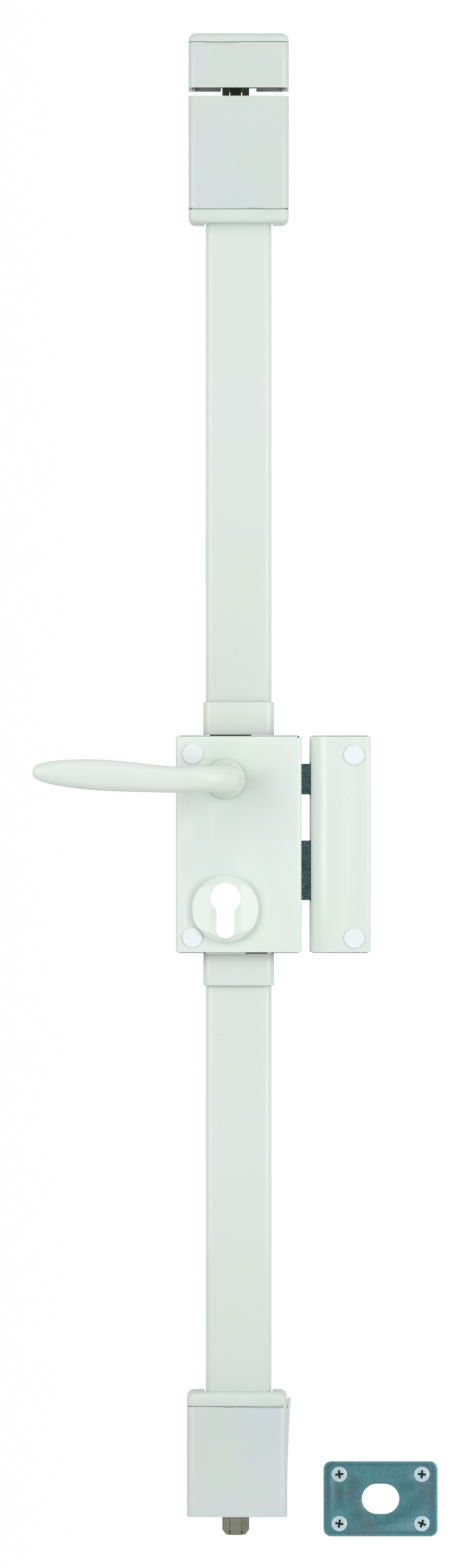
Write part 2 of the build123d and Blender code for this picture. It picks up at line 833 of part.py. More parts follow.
spring_length = latch_heel + spring_pocket - seat_right - spring_wire - 2 * slip_gap
with BuildPart() as latch_spring:
    with BuildLine():
        coil = Helix(
            pitch=spring_length / spring_turns,
            height=spring_length,
            radius=spring_r - spring_wire / 2,
            center=(seat_right + spring_wire / 2 + slip_gap, -window_depth, spindle_z),
            direction=(1, 0, 0),
        )
    with BuildSketch(Plane(origin=coil @ 0, z_dir=coil % 0)):
        RegularPolygon(spring_wire / 2, spring_wire_sides)
    sweep(path=coil)
save(latch_spring, "latch_spring")

# The follower turns with the spindle, and its claw pulls the latch
square_hole = spindle_side + 2 * spindle_fit
with BuildPart() as follower:
    with BuildSketch(front_plane(bolt_back)):
        with Locations((lock_axis_x, spindle_z)):
            Circle(follower_r)
            Rectangle(square_hole, square_hole, mode=Mode.SUBTRACT)
    extrude(amount=bolt_thick)
    with BuildSketch(front_plane(claw_depth)):
        with Locations((lock_axis_x, (spindle_z + follower_r - 1 + claw_top) / 2)):
            Rectangle(2 * claw_half, claw_top - spindle_z - follower_r + 1)
    extrude(amount=claw_thick)
save(follower, "follower")

spindle_front = case_depth + lever_neck
with BuildPart() as spindle:
    with BuildSketch(front_plane(running_gap)):
        with Locations((lock_axis_x, spindle_z)):
            Rectangle(spindle_side, spindle_side)
    extrude(amount=spindle_front - running_gap)
save(spindle, "spindle")

# Plastic bushes: one in the base plate, one in the cover round the lever's root
with BuildPart() as spindle_bush:
    with BuildSketch(front_plane(0)):
        with Locations((lock_axis_x, spindle_z)):
            Circle(slot_half + bush_wall)
            Circle(spindle_side / sqrt(2) + spindle_fit, mode=Mode.SUBTRACT)
    extrude(amount=rack_back - running_gap)
save(spindle_bush, "spindle_bush")

with BuildPart() as lever_bush:
    with BuildSketch(front_plane(case_depth - cover_sheet - bush_flange)):
        with Locations((lock_axis_x, spindle_z)):
            Circle(lever_bore_r + bush_wall)
    extrude(amount=bush_flange)
    with BuildSketch(front_plane(case_depth - cover_sheet)):
        with Locations((lock_axis_x, spindle_z)):
            Circle(lever_bore_r)
    extrude(amount=cover_sheet)
    with BuildSketch(front_plane(0)):
        with Locations((lock_axis_x, spindle_z)):
            Circle(lever_root_r + spindle_fit)
    extrude(amount=case_depth, mode=Mode.SUBTRACT)
save(lever_bush, "lever_bush")

# The lever: a round hub, a neck that turns to the left, and a grip that swells and tapers
lever_face = case_depth + lever_face_gap
grip_depth = case_depth + lever_out
neck_end = grip_depth - lever_elbow
with BuildPart() as lever_handle:
    with BuildSketch(front_plane(lever_face)):
        with Locations((lock_axis_x, spindle_z)):
            Circle(lever_hub_r)
    with BuildSketch(front_plane(lever_face + (neck_end - lever_face) / 2)):
        with Locations((lock_axis_x, spindle_z)):
            Circle(lever_neck_r + lever_neck_swell)
    with BuildSketch(front_plane(neck_end)):
        with Locations((lock_axis_x, spindle_z)):
            Circle(lever_neck_r)
    for share in lever_elbow_shares:
        turn = share * pi / 2
        centre = (
            lock_axis_x - lever_elbow * (1 - cos(turn)),
            -neck_end - lever_elbow * sin(turn),
            spindle_z,
        )
        across = Plane(origin=centre, x_dir=(0, 0, 1), z_dir=(-sin(turn), -cos(turn), 0))
        with BuildSketch(across):
            Ellipse(*[lever_neck_r - slim * share for slim in lever_elbow_slim])
    for x, z, half in grip_sections:
        with BuildSketch(Plane(origin=(x, -grip_depth, z), x_dir=(0, 0, 1), z_dir=(-1, 0, 0))):
            Ellipse(half, half * grip_flatness)
    with BuildSketch(Plane(origin=(lever_tip_x, -grip_depth, lever_tip_z), x_dir=(0, 0, 1), z_dir=(-1, 0, 0))):
        Ellipse(*lever_tip_half)
    loft()
    with BuildSketch(front_plane(case_depth - cover_sheet - bush_flange)):
        with Locations((lock_axis_x, spindle_z)):
            Circle(lever_root_r)
    extrude(amount=lever_face - case_depth + cover_sheet + bush_flange)
    with BuildSketch(front_plane(0)):
        with Locations((lock_axis_x, spindle_z)):
            Rectangle(square_hole, square_hole)
    extrude(amount=case_depth + lever_neck + spindle_fit, mode=Mode.SUBTRACT)
    with BuildSketch(Plane.XY.offset(spindle_z - lever_hub_r - 1)):
        with Locations((lock_axis_x, -lever_face - grub_length)):
            Circle(grub_r)
    extrude(amount=lever_hub_r + 1, mode=Mode.SUBTRACT)
save(lever_handle, "lever_handle")

with BuildPart() as lever_grub:
    with BuildSketch(Plane.XY.offset(spindle_z - square_hole / 2 - spindle_fit - grub_length)):
        with Locations((lock_axis_x, -lever_face - grub_length)):
            Circle(grub_r)
            RegularPolygon(grub_r / 2, 6, mode=Mode.SUBTRACT)
    extrude(amount=grub_length + 2 * spindle_fit)
save(lever_grub, "lever_grub_screw")


def flat_rod(end, tip_z):
    """A flat rod from its rack plate to the fork of its round end. end is 1 above and -1 below."""
    fork_z = abs(tip_z) - rod_end_length + fork_deep - wall_gap
    with BuildPart() as rod:
        with BuildSketch(front_plane(rack_front)):
            with Locations((rod_x, end * (rod_start + fork_z) / 2)):
                Rectangle(rod_width, fork_z - rod_start)
            with Locations((rod_x, end * rod_rivets[0]), (rod_x, end * rod_rivets[1])):
                Circle(rivet_r, mode=Mode.SUBTRACT)
            with Locations((rod_x, end * (fork_z - fork_deep / 2))):
                Circle(pin_r, mode=Mode.SUBTRACT)
        extrude(amount=rod_thick)
    return rod.part


def round_end(end, tip_z):
    """The round end of a rod, chamfered at its tip and forked to take the flat rod."""
    heel_z = abs(tip_z) - rod_end_length
    fork_z = heel_z + fork_deep - wall_gap
    with BuildPart() as round_bar:
        with BuildSketch(Plane.XY.offset(end * heel_z)):
            with Locations((rod_x, -rod_depth)):
                Circle(rod_end_r)
        extrude(amount=end * rod_end_length)
        tip = round_bar.edges().filter_by(GeomType.CIRCLE).sort_by(Axis.Z)[-1 if end > 0 else 0]
        chamfer(tip, rod_end_chamfer, rod_end_r - rod_end_tip_r, reference=round_bar.faces().filter_by(
            GeomType.CYLINDER)[0])
        with BuildSketch(front_plane(rod_depth + rod_end_tip_r - slit_deep)):
            with Locations((rod_x - slit_x, tip_z), (rod_x + slit_x, tip_z)):
                Rectangle(slit_width, 2 * rod_end_chamfer)
        extrude(amount=rod_end_r, mode=Mode.SUBTRACT)
        with BuildSketch(front_plane(rack_front)):
            with Locations((rod_x, end * (heel_z + fork_deep / 2))):
                Rectangle(2 * rod_end_r, fork_deep)
        extrude(amount=rod_thick, mode=Mode.SUBTRACT)
        with BuildSketch(front_plane(0)):
            with Locations((rod_x, end * (fork_z - fork_deep / 2))):
                Circle(pin_r)
        extrude(amount=2 * rod_depth, mode=Mode.SUBTRACT)
    return round_bar.part


def cross_pin(end, tip_z):
    """The pin that joins a flat rod to its round end."""
    pin_z = abs(tip_z) - rod_end_length + fork_deep / 2 - wall_gap
    with BuildPart() as pin:
        with BuildSketch(front_plane(rod_depth - rod_end_r + 1)):
            with Locations((rod_x, end * pin_z)):
                Circle(pin_r)
        extrude(amount=2 * rod_end_r - 2)
    return pin.part


rod_front = rack_front + rod_thick
for end, side_name, end_name, tip_z in (
    (1, "upper", "top", top_rod_tip_z),
    (-1, "lower", "bottom", bottom_rod_tip_z),
):
    with BuildPart() as rod:
        add(flat_rod(end, tip_z))
    save(rod, f"{side_name}_rod")
    with BuildPart() as rod_end:
        add(round_end(end, tip_z))
    save(rod_end, f"{end_name}_rod_end")
    with BuildPart() as pin:
        add(cross_pin(end, tip_z))
    save(pin, f"{end_name}_rod_pin")
    with BuildPart() as rivets:
        add(rivet_set([(rod_x, end * z) for z in rod_rivets], rack_back, rod_front))
    save(rivets, f"{side_name}_rod_rivets")

# Collars where the strips leave the case, and the strips themselves
strip_inner = strip_width - 2 * strip_sheet
for end, side_name, collar_end, box_mouth in (
    (1, "upper", upper_collar_z, top_box_low + strip_entry),
    (-1, "lower", lower_collar_z, bottom_box_high - strip_entry),
):
    collar_start = end * (case_top + collar_gap)
    with BuildPart() as collar:
        add(
            folded_shell(
                0, collar_width, collar_depth, collar_radius, collar_sheet,
                min(collar_start, collar_end), max(collar_start, collar_end),
            )
        )
        free_end = collar.faces().filter_by(Axis.Z).sort_by(Axis.Z)[-1 if end > 0 else 0]
        corners = free_end.edges().filter_by(Axis.Y).group_by(Axis.X)
        fillet(corners[0] + corners[-1], collar_corner)
    save(collar, f"{side_name}_collar")
    with BuildPart() as strip:
        add(
            folded_shell(
                0, strip_width, strip_depth, strip_radius, strip_sheet,
                min(end * strip_start, box_mouth), max(end * strip_start, box_mouth),
            )
        )
    save(strip, f"{side_name}_strip_cover")
    guide_width = strip_inner - 2 * slip_gap
    guide_depth = strip_depth - strip_sheet - slip_gap
    guide_span = abs(box_mouth) - upper_collar_z
    with BuildPart() as guides:
        for count in range(guide_count):
            guide_z = end * (upper_collar_z + guide_span * (count + 0.5) / guide_count)
            with BuildSketch(Plane.XY.offset(guide_z - guide_height / 2)):
                add(front_rounded(guide_width, guide_depth, strip_radius - strip_sheet))
                with Locations((rod_x, -rod_depth)):
                    Rectangle(
                        rod_width + 2 * running_gap,
                        rod_thick + 2 * running_gap,
                        mode=Mode.SUBTRACT,
                    )
            extrude(amount=guide_height)
            with BuildSketch(front_plane(0)):
                with Locations(((rod_x + rod_width / 2 + guide_width / 2) / 2, guide_z)):
                    Circle(guide_hole_r)
            extrude(amount=strip_depth, mode=Mode.SUBTRACT)
    save(guides, f"{side_name}_rod_guides")

# End boxes: a channel base with a bored flange, a folded cover and a moulded end cap
box_inner = box_width - 2 * (cover_sheet + slip_gap)
flange_depth = box_depth - cover_sheet - slip_gap


def box_screw_places(centre_x, z_values):
    """Where a box's side screws sit."""
    return [
        (centre_x + side * box_width / 2, cover_screw_depth, z, side)
        for side in (-1, 1)
        for z in z_values
    ]


def end_box(name, end, centre_x, low, high):
    """One rod box: its base, cover, cap and screws. end is 1 above and -1 below."""
    mouth = low if end > 0 else high
    top = high if end > 0 else low
    base_start = mouth + end * (cap_lug + slip_gap)
    base_stop = top - end * edge_reveal
    places = box_screw_places(centre_x, [mouth + end * (high - low) / 2])
    hole_z = [mouth + end * (high - low) * share for share in box_hole_shares]
    with BuildPart() as base:
        add(channel_base(centre_x, box_inner, min(base_start, base_stop), max(base_start, base_stop)))
        with BuildSketch(Plane.XY.offset(base_stop)):
            with Locations((centre_x, 0)):
                add(front_rounded(box_inner, flange_depth, box_radius - cover_sheet))
            with Locations((rod_x, -rod_depth)):
                Circle(rod_end_r + running_gap, mode=Mode.SUBTRACT)
        extrude(amount=-end * base_plate)
        with BuildSketch(front_plane(0)):
            for z in hole_z:
                with Locations(
                    (centre_x - box_hole_spacing_x / 2, z),
                    (centre_x + box_hole_spacing_x / 2, z),
                ):
                    Circle(box_hole_r)
        extrude(amount=base_plate, mode=Mode.SUBTRACT)
        add(screw_holes(places), mode=Mode.SUBTRACT)
    save(base, f"{name}_base")
    with BuildPart() as screws:
        add(side_screws(places))
    save(screws, f"{name}_screws")
    return places


top_places = end_box("top_box", 1, 0.0, top_box_low, top_box_high)
bottom_places = end_box("bottom_box", -1, bottom_box_x, bottom_box_low, bottom_box_high)

with BuildPart() as top_box_cover:
    add(
        folded_shell(
            0, box_width, box_depth, box_radius, cover_sheet, top_box_low + seam_gap / 2, top_box_high
        )
    )
    add(screw_holes(top_places), mode=Mode.SUBTRACT)
save(top_box_cover, "top_box_cover")

with BuildPart() as top_box_cap:
    add(
        end_cap(
            0, top_box_low - cap_height, top_box_low - seam_gap / 2, cap_corner, cap_lug, True, True
        )
    )
save(top_box_cap, "top_box_cap")

# The bottom box's cover keeps its slanting seam and its sprung-out right flank
flank_x = bottom_box_x + box_width / 2
with BuildPart() as bottom_box_cover:
    add(
        folded_shell(
            bottom_box_x, box_width, box_depth, box_radius, cover_sheet, bottom_box_low, bottom_box_high
        )
    )
    with BuildSketch(front_plane(-1)):
        Polygon(
            (bottom_box_x - box_width, bottom_box_high + 5),
            (bottom_box_x - box_width / 2, bottom_box_high),
            (flank_x - box_radius, bottom_box_high - bottom_seam_slant),
            (flank_x + 5, bottom_box_high - bottom_seam_slant),
            (flank_x + 5, bottom_box_high + 5),
            align=None,
        )
    extrude(amount=box_depth + 2, mode=Mode.SUBTRACT)
    flare_low = bottom_box_high - flare_length
    flank_deep = box_depth - box_radius
    with BuildSketch(front_plane(0)):
        with Locations((flank_x, bottom_box_high - flare_length / 2)):
            Rectangle(2 * cover_sheet, flare_length + 1)
    extrude(amount=flank_deep, mode=Mode.SUBTRACT)
    with BuildSketch(front_plane(0)):
        Polygon(
            (flank_x - cover_sheet, flare_low - 1),
            (flank_x, flare_low - 1),
            (flank_x + flare_out, bottom_box_high),
            (flank_x + flare_out, bottom_box_high + flare_ear),
            (flank_x + flare_out - cover_sheet, bottom_box_high - bottom_seam_slant),
            align=None,
        )
    extrude(amount=flank_deep)
    add(screw_holes(bottom_places), mode=Mode.SUBTRACT)
save(bottom_box_cover, "bottom_box_cover")

with BuildPart() as bottom_box_cap:
    add(
        end_cap(
            bottom_box_x, bottom_box_high + seam_gap / 2, bottom_box_high + cap_height,
            cap_corner, cap_lug, False, True,
        )
    )
save(bottom_box_cap, "bottom_box_cap")

# The top strike: a channel base with a bored bridge, a cover open at the bottom and an end cap
strike_places = box_screw_places(0.0, [(strike_low + strike_high) / 2])
strike_base_top = strike_high - cap_lug - slip_gap
strike_hole_z = strike_base_top - strike_hole_edge
with BuildPart() as top_strike_base:
    add(channel_base(0, box_inner, strike_low, strike_base_top))
    with BuildSketch(Plane.XY.offset(strike_bridge_z)):
        add(front_rounded(box_inner, flange_depth, box_radius - cover_sheet))
        with Locations((rod_x, -rod_depth)):
            Circle(rod_end_r + wall_gap, mode=Mode.SUBTRACT)
    extrude(amount=base_plate)
    with BuildSketch(front_plane(0)):
        with Locations((0, strike_low)):
            Rectangle(strike_notch_width, 2 * strike_notch_high)
        with Locations((-box_hole_spacing_x / 2, strike_hole_z), (box_hole_spacing_x / 2, strike_hole_z)):
            Circle(box_hole_r)
    extrude(amount=base_plate, mode=Mode.SUBTRACT)
    add(screw_holes(strike_places), mode=Mode.SUBTRACT)
save(top_strike_base, "top_strike_base")

with BuildPart() as top_strike_cover:
    add(
        folded_shell(
            0, box_width, box_depth, box_radius, cover_sheet, strike_low, strike_high - seam_gap / 2
        )
    )
    add(screw_holes(strike_places), mode=Mode.SUBTRACT)
save(top_strike_cover, "top_strike_cover")

with BuildPart() as strike_screws:
    add(side_screws(strike_places))
save(strike_screws, "top_strike_screws")

with BuildPart() as top_strike_cap:
    add(
        end_cap(
            0, strike_high + seam_gap / 2, strike_high + strike_cap_height,
            strike_cap_corner, cap_lug, False, False,
        )
    )
save(top_strike_cap, "top_strike_cap")

# The side keeper: base with end flanges, and a cover whose left edge slopes back as a lead-in
keeper_plugs = [
    (keeper_plug_x, keeper_plug_z + keeper_plug_spacing / 2),
    (keeper_plug_x, keeper_plug_z - keeper_plug_spacing / 2),
]
keeper_left = keeper_x - keeper_width / 2
keeper_right = keeper_x + keeper_width / 2
keeper_places = [
    (keeper_right, cover_screw_depth, end * (keeper_plug_spacing / 2 - keeper_screw_z), 1) for end in (-1, 1)
]


def keeper_section(inset):
    """The keeper seen from above, drawn in by an even distance from its outer faces."""
    ramp_angle = atan2(keeper_ramp_deep, keeper_ramp_x)
    at_flank = inset * (1 - sin(ramp_angle)) / cos(ramp_angle)
    at_ridge = inset * tan(ramp_angle / 2)
    with BuildSketch() as section:
        with BuildLine():
            Polyline(
                (keeper_left + inset, 0),
                (keeper_left + inset, -keeper_depth + keeper_ramp_deep + at_flank),
                (keeper_left + keeper_ramp_x + at_ridge, -keeper_depth + inset),
                (keeper_right - inset, -keeper_depth + inset),
                (keeper_right - inset, 0),
                close=True,
            )
        make_face()
        bend = section.vertices().sort_by(Axis.X)[-2:].sort_by(Axis.Y)[0]
        fillet(bend, keeper_bend - inset)
    return section.sketch


with BuildPart() as keeper_base:
    inner_left = keeper_left + cover_sheet + slip_gap
    inner_right = keeper_right - cover_sheet - slip_gap
    with BuildSketch(front_plane(0)):
        with Locations(((inner_left + inner_right) / 2, 0)):
            Rectangle(inner_right - inner_left, case_height)
        with Locations(*keeper_plugs):
            Circle(fixing_hole_r, mode=Mode.SUBTRACT)
    extrude(amount=base_plate)
    for low in (-case_top, case_top - base_plate):
        with BuildSketch(Plane.XY.offset(low)):
            add(keeper_section(cover_sheet + slip_gap))
        extrude(amount=base_plate)
    with BuildSketch(front_plane(0)):
        with Locations(*[(inner_right - base_plate / 2, place[2]) for place in keeper_places]):
            Rectangle(base_plate, 4 * screw_head_r)
    extrude(amount=cover_screw_depth + 2 * screw_head_r)
    add(screw_holes(keeper_places), mode=Mode.SUBTRACT)
save(keeper_base, "keeper_base")

with BuildPart() as keeper_cover:
    with BuildSketch(Plane.XY.offset(-case_top + edge_reveal)):
        add(keeper_section(0))
        add(keeper_section(cover_sheet), mode=Mode.SUBTRACT)
    extrude(amount=case_height - 2 * edge_reveal)
    with BuildSketch(front_plane(keeper_depth - cover_sheet - 1)):
        with Locations(*keeper_plugs):
            Circle(plug_hole_r)
        with Locations((keeper_right, case_top)):
            Rectangle(keeper_corner, keeper_corner, rotation=45)
    extrude(amount=cover_sheet + 2, mode=Mode.SUBTRACT)
    with BuildSketch(Plane.YZ.offset(keeper_left - 1)):
        with Locations((-window_depth, spindle_z)):
            Rectangle(bolt_window + wall_gap, latch_window + wall_gap)
        with Locations((-window_depth, dead_z)):
            Rectangle(bolt_window + wall_gap, dead_window + wall_gap)
    extrude(amount=cover_sheet + 2, mode=Mode.SUBTRACT)
    add(screw_holes(keeper_places), mode=Mode.SUBTRACT)
save(keeper_cover, "keeper_cover")

with BuildPart() as keeper_screws:
    add(side_screws(keeper_places))
save(keeper_screws, "keeper_screws")

with BuildPart() as keeper_sleeves:
    add(fixing_sleeves(keeper_plugs, keeper_depth - sleeve_setback))
save(keeper_sleeves, "keeper_fixing_sleeves")

with BuildPart() as keeper_cap_plugs:
    add(cap_plugs(keeper_plugs, keeper_depth))
save(keeper_cap_plugs, "keeper_cap_plugs")

# The floor plate with its rod hole and four countersunk cross-recess screws
plate_screws = [
    (plate_x + side * plate_screw_dx / 2, plate_z + end * plate_screw_dz / 2)
    for side in (-1, 1)
    for end in (-1, 1)
]
with BuildPart() as floor_plate:
    with BuildSketch(front_plane(0)):
        with Locations((plate_x, plate_z)):
            RectangleRounded(plate_width, plate_height, plate_corner)
            SlotOverall(plate_slot_length, plate_slot_width, mode=Mode.SUBTRACT)
    extrude(amount=plate_thick)
    front_face = floor_plate.faces().sort_by(Axis.Y)[0]
    chamfer(front_face.outer_wire().edges(), plate_rim)
    for x, z in plate_screws:
        with BuildSketch(front_plane(plate_thick)):
            with Locations((x, z)):
                Circle(wood_head_r + spindle_fit)
        extrude(amount=-wood_head, taper=countersink_half, mode=Mode.SUBTRACT)
        with BuildSketch(front_plane(0)):
            with Locations((x, z)):
                Circle(wood_neck_r + spindle_fit)
        extrude(amount=plate_thick, mode=Mode.SUBTRACT)
save(floor_plate, "floor_plate")

with BuildPart() as floor_plate_screws:
    for x, z in plate_screws:
        with BuildSketch(front_plane(plate_thick)):
            with Locations((x, z)):
                Circle(wood_head_r)
        extrude(amount=-wood_head, taper=countersink_half)
        with BuildSketch(front_plane(0)):
            with Locations((x, z)):
                Circle(wood_neck_r)
        extrude(amount=plate_thick - cross_deep - cross_floor)
        with BuildSketch(front_plane(0)):
            with Locations((x, z)):
                Circle(wood_shank_r)
        extrude(amount=-(wood_length - plate_thick))
        with BuildSketch(front_plane(plate_thick)):
            with Locations((x, z)):
                Rectangle(cross_length, cross_width)
                Rectangle(cross_width, cross_length)
        extrude(amount=-cross_deep, mode=Mode.SUBTRACT)
save(floor_plate_screws, "floor_plate_screws")
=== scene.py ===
"""Dresses the multipoint rim lock: painted covers, lever, rosette, plugs, rod ends and floor plate."""

import json
import logging
import math
from contextlib import contextmanager
from dataclasses import dataclass, field
from enum import Enum
from typing import Callable, Iterator

import bpy
from bpy.types import ID, Material, Node, NodeSocket, NodeTree, Object
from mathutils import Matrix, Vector

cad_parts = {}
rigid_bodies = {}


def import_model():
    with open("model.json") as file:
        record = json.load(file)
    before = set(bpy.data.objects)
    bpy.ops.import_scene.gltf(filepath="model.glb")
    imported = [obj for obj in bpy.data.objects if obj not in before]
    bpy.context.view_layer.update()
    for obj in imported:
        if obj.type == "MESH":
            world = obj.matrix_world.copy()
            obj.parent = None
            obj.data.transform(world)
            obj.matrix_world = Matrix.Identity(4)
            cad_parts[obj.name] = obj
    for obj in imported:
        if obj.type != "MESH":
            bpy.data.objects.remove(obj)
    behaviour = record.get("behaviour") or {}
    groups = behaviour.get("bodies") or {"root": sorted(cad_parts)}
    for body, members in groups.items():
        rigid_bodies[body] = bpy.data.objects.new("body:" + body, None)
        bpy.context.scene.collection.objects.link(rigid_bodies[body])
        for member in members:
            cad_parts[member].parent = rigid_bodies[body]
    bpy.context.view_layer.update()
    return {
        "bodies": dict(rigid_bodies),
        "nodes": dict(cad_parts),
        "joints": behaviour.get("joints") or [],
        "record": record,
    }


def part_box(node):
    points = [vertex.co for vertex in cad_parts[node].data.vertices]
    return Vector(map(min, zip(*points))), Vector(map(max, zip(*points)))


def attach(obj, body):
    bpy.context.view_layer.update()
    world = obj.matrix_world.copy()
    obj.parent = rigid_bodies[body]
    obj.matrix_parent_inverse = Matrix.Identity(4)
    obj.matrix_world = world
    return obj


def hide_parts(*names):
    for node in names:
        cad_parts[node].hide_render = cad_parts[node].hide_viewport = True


MM = 0.001
LOG = logging.getLogger("rim_lock")
Point = tuple[float, float, float]
Test = Callable[[list[Vector], Vector], bool]

FLAT = 0.9  # a face looks along an axis when its normal's share of it passes this
NEAR = 0.01  # millimetres within which two places are the same
BUMP_REACH = 0.0001  # metres that a bump's full height stands for
LATCH_HEIGHT = 18.0  # the latch without its pull arm
PLUG_BORE = 4.45
SPINDLE = (-7.8, 38.4)  # where the spindle stands in X and Z
MIX_SHARE, MIX_FIRST, MIX_SECOND, MIX_RESULT = 0, 6, 7, 2  # a Mix node's colour sockets
WHITE = (1.0, 1.0, 1.0, 1.0)
BLACK = (0.0, 0.0, 0.0, 1.0)


class Pick(Enum):
    """What an edit-mode selection is made of."""

    FACES = "FACE"
    EDGES = "EDGE"
    VERTICES = "VERT"


class Toward(Enum):
    """The way a round piece's axis points."""

    FRONT = (math.pi / 2, 0.0, 0.0)
    UP = (0.0, 0.0, 0.0)


# Colour and node helpers


def linear(hex_colour: str) -> tuple[float, float, float, float]:
    """Turn an sRGB hex colour into a linear one.

    Args:
        hex_colour: six hex digits, such as "E0EAE2".

    Returns:
        Linear red, green and blue, and an alpha of 1.
    """
    values = [int(hex_colour[i : i + 2], 16) / 255 for i in (0, 2, 4)]
    # The sRGB standard's curve: a straight foot, then a power
    lin = [v / 12.92 if v <= 0.04045 else ((v + 0.055) / 1.055) ** 2.4 for v in values]
    return (lin[0], lin[1], lin[2], 1.0)


def add_node(tree: NodeTree, kind: str, inputs: dict | None = None, **settings) -> Node:
    """Add a node to a tree with its settings and links.

    Args:
        tree: the tree that takes the node.
        kind: the node's type name, without its ShaderNode.
        inputs: input name or index to the socket that feeds it or the value that it holds.
        settings: the node's own attributes.

    Returns:
        The new node.
    """
    node = tree.nodes.new(f"ShaderNode{kind}")
    for name, value in settings.items():
        setattr(node, name, value)
    for name, source in (inputs or {}).items():
        if isinstance(source, NodeSocket):
            tree.links.new(source, node.inputs[name])
        else:
            node.inputs[name].default_value = source
    return node


def ramp_between(node: Node, stops: list[tuple[float, tuple]]) -> None:
    """Set a colour ramp's stops, each a place from 0 to 1 and a linear colour."""
    elements = node.color_ramp.elements
    while len(elements) < len(stops):
        elements.new(0.5)
    for element, (place, colour) in zip(elements, stops):
        element.position = place
        element.color = colour


# Mesh helpers


def deselect_all() -> None:
    """Clear the selection in object mode."""
    if bpy.context.object and bpy.context.object.mode != "OBJECT":
        bpy.ops.object.mode_set(mode="OBJECT")
    bpy.ops.object.select_all(action="DESELECT")


def make_active(piece: Object) -> None:
    """Select one object alone and make it active."""
    deselect_all()
    piece.select_set(True)
    bpy.context.view_layer.objects.active = piece


@contextmanager
def editing(piece: Object) -> Iterator[None]:
    """Edit one object's mesh with nothing selected at first."""
    make_active(piece)
    bpy.ops.object.mode_set(mode="EDIT")
    bpy.ops.mesh.select_all(action="DESELECT")
    yield
    bpy.ops.object.mode_set(mode="OBJECT")


def choose(piece: Object, what: Pick, test: Test) -> None:
    """Select faces, edges or vertices by their place while editing.

    Args:
        piece: the object being edited.
        what: faces, edges or vertices.
        test: takes the points in millimetres and the normal (none for an edge), and says yes or no.
    """
    bpy.ops.mesh.select_mode(type=what.value)
    bpy.ops.mesh.select_all(action="DESELECT")
    bpy.ops.object.mode_set(mode="OBJECT")
    mesh = piece.data
    points = [v.co / MM for v in mesh.vertices]
    for row in {Pick.FACES: mesh.polygons, Pick.EDGES: mesh.edges, Pick.VERTICES: mesh.vertices}[what]:
        ends = [row.index] if what is Pick.VERTICES else row.vertices
        normal = Vector() if what is Pick.EDGES else row.normal
        row.select = test([points[i] for i in ends], normal)
    bpy.ops.object.mode_set(mode="EDIT")


def front_corner(points: list[Vector], front: float) -> bool:
    """Whether an edge is an upright one that lies at the front."""
    return abs(points[0].z - points[1].z) > 1 and max(points[0].y, points[1].y) < front + NEAR


def shift(x: float, y: float, z: float) -> None:
    """Move the selection, in millimetres."""
    bpy.ops.transform.translate(value=(x * MM, y * MM, z * MM))


def extrude(x: float, y: float, z: float) -> None:
    """Extrude the selected faces by a move in millimetres."""
    bpy.ops.mesh.extrude_region_move(TRANSFORM_OT_translate={"value": (x * MM, y * MM, z * MM)})


def resize(shares: Point, centre: Point) -> None:
    """Scale the selection about a centre in millimetres."""
    bpy.ops.transform.resize(value=shares, center_override=[v * MM for v in centre])


def inset(thickness: float) -> None:
    """Inset the selected faces, in millimetres."""
    bpy.ops.mesh.inset(thickness=thickness * MM)


def bevel(offset: float, segments: int) -> None:
    """Round the selected edges by an offset in millimetres."""
    bpy.ops.mesh.bevel(offset=offset * MM, segments=segments, affect="EDGES")


def bisect(place: Point, normal: Point, **settings) -> None:
    """Cut the whole mesh along the plane through a place in millimetres."""
    bpy.ops.mesh.select_all(action="SELECT")
    bpy.ops.mesh.bisect(plane_co=[v * MM for v in place], plane_no=normal, **settings)


def place_applied(name: str) -> Object:
    """Name the new primitive and put its place and size into its mesh."""
    piece = bpy.context.object
    piece.name = name
    bpy.ops.object.transform_apply(location=True, rotation=True, scale=True)
    return piece


def block(name: str, low: Point, high: Point) -> Object:
    """A box primitive between two corners in millimetres."""
    deselect_all()
    middle = [(a + b) / 2 * MM for a, b in zip(low, high)]
    bpy.ops.mesh.primitive_cube_add(size=1.0, location=middle)
    bpy.context.object.scale = [(b - a) * MM for a, b in zip(low, high)]
    return place_applied(name)


def round_bar(
    name: str,
    start: Point,
    length: float,
    radius: float,
    sides: int = 96,
    toward: Toward = Toward.FRONT,
) -> Object:
    """A round bar from a start point, towards the front or up.

    Args:
        name: the object's name.
        start: the centre of its first end in millimetres.
        length: its length in millimetres.
        radius: its radius in millimetres.
        sides: how many faces go round it.
        toward: the way it runs.

    Returns:
        The bar, with its place in its mesh.
    """
    deselect_all()
    along = Vector((0, -1, 0)) if toward is Toward.FRONT else Vector((0, 0, 1))
    middle = (Vector(start) + along * (length / 2)) * MM
    bpy.ops.mesh.primitive_cylinder_add(
        vertices=sides, radius=radius * MM, depth=length * MM, location=middle, rotation=toward.value
    )
    return place_applied(name)


def apply_modifier(piece: Object, kind: str, **settings) -> None:
    """Add one modifier with its settings and apply it."""
    make_active(piece)
    modifier = piece.modifiers.new(kind.lower(), kind)
    for name, value in settings.items():
        setattr(modifier, name, value)
    bpy.ops.object.modifier_apply(modifier=modifier.name)


def cut_away(piece: Object, *cutters: Object) -> None:
    """Cut each cutter's shape out of the piece and delete the cutters."""
    for cutter in cutters:
        apply_modifier(piece, "BOOLEAN", object=cutter, operation="DIFFERENCE", solver="EXACT")
        bpy.data.objects.remove(cutter)


def join(piece: Object, *others: Object) -> Object:
    """Join other objects into the piece."""
    make_active(piece)
    for other in others:
        other.select_set(True)
    bpy.ops.object.join()
    return piece


def in_scene(name: str, data: ID) -> Object:
    """A new object around some data, put into the scene."""
    thing = bpy.data.objects.new(name, data)
    bpy.context.scene.collection.objects.link(thing)
    return thing


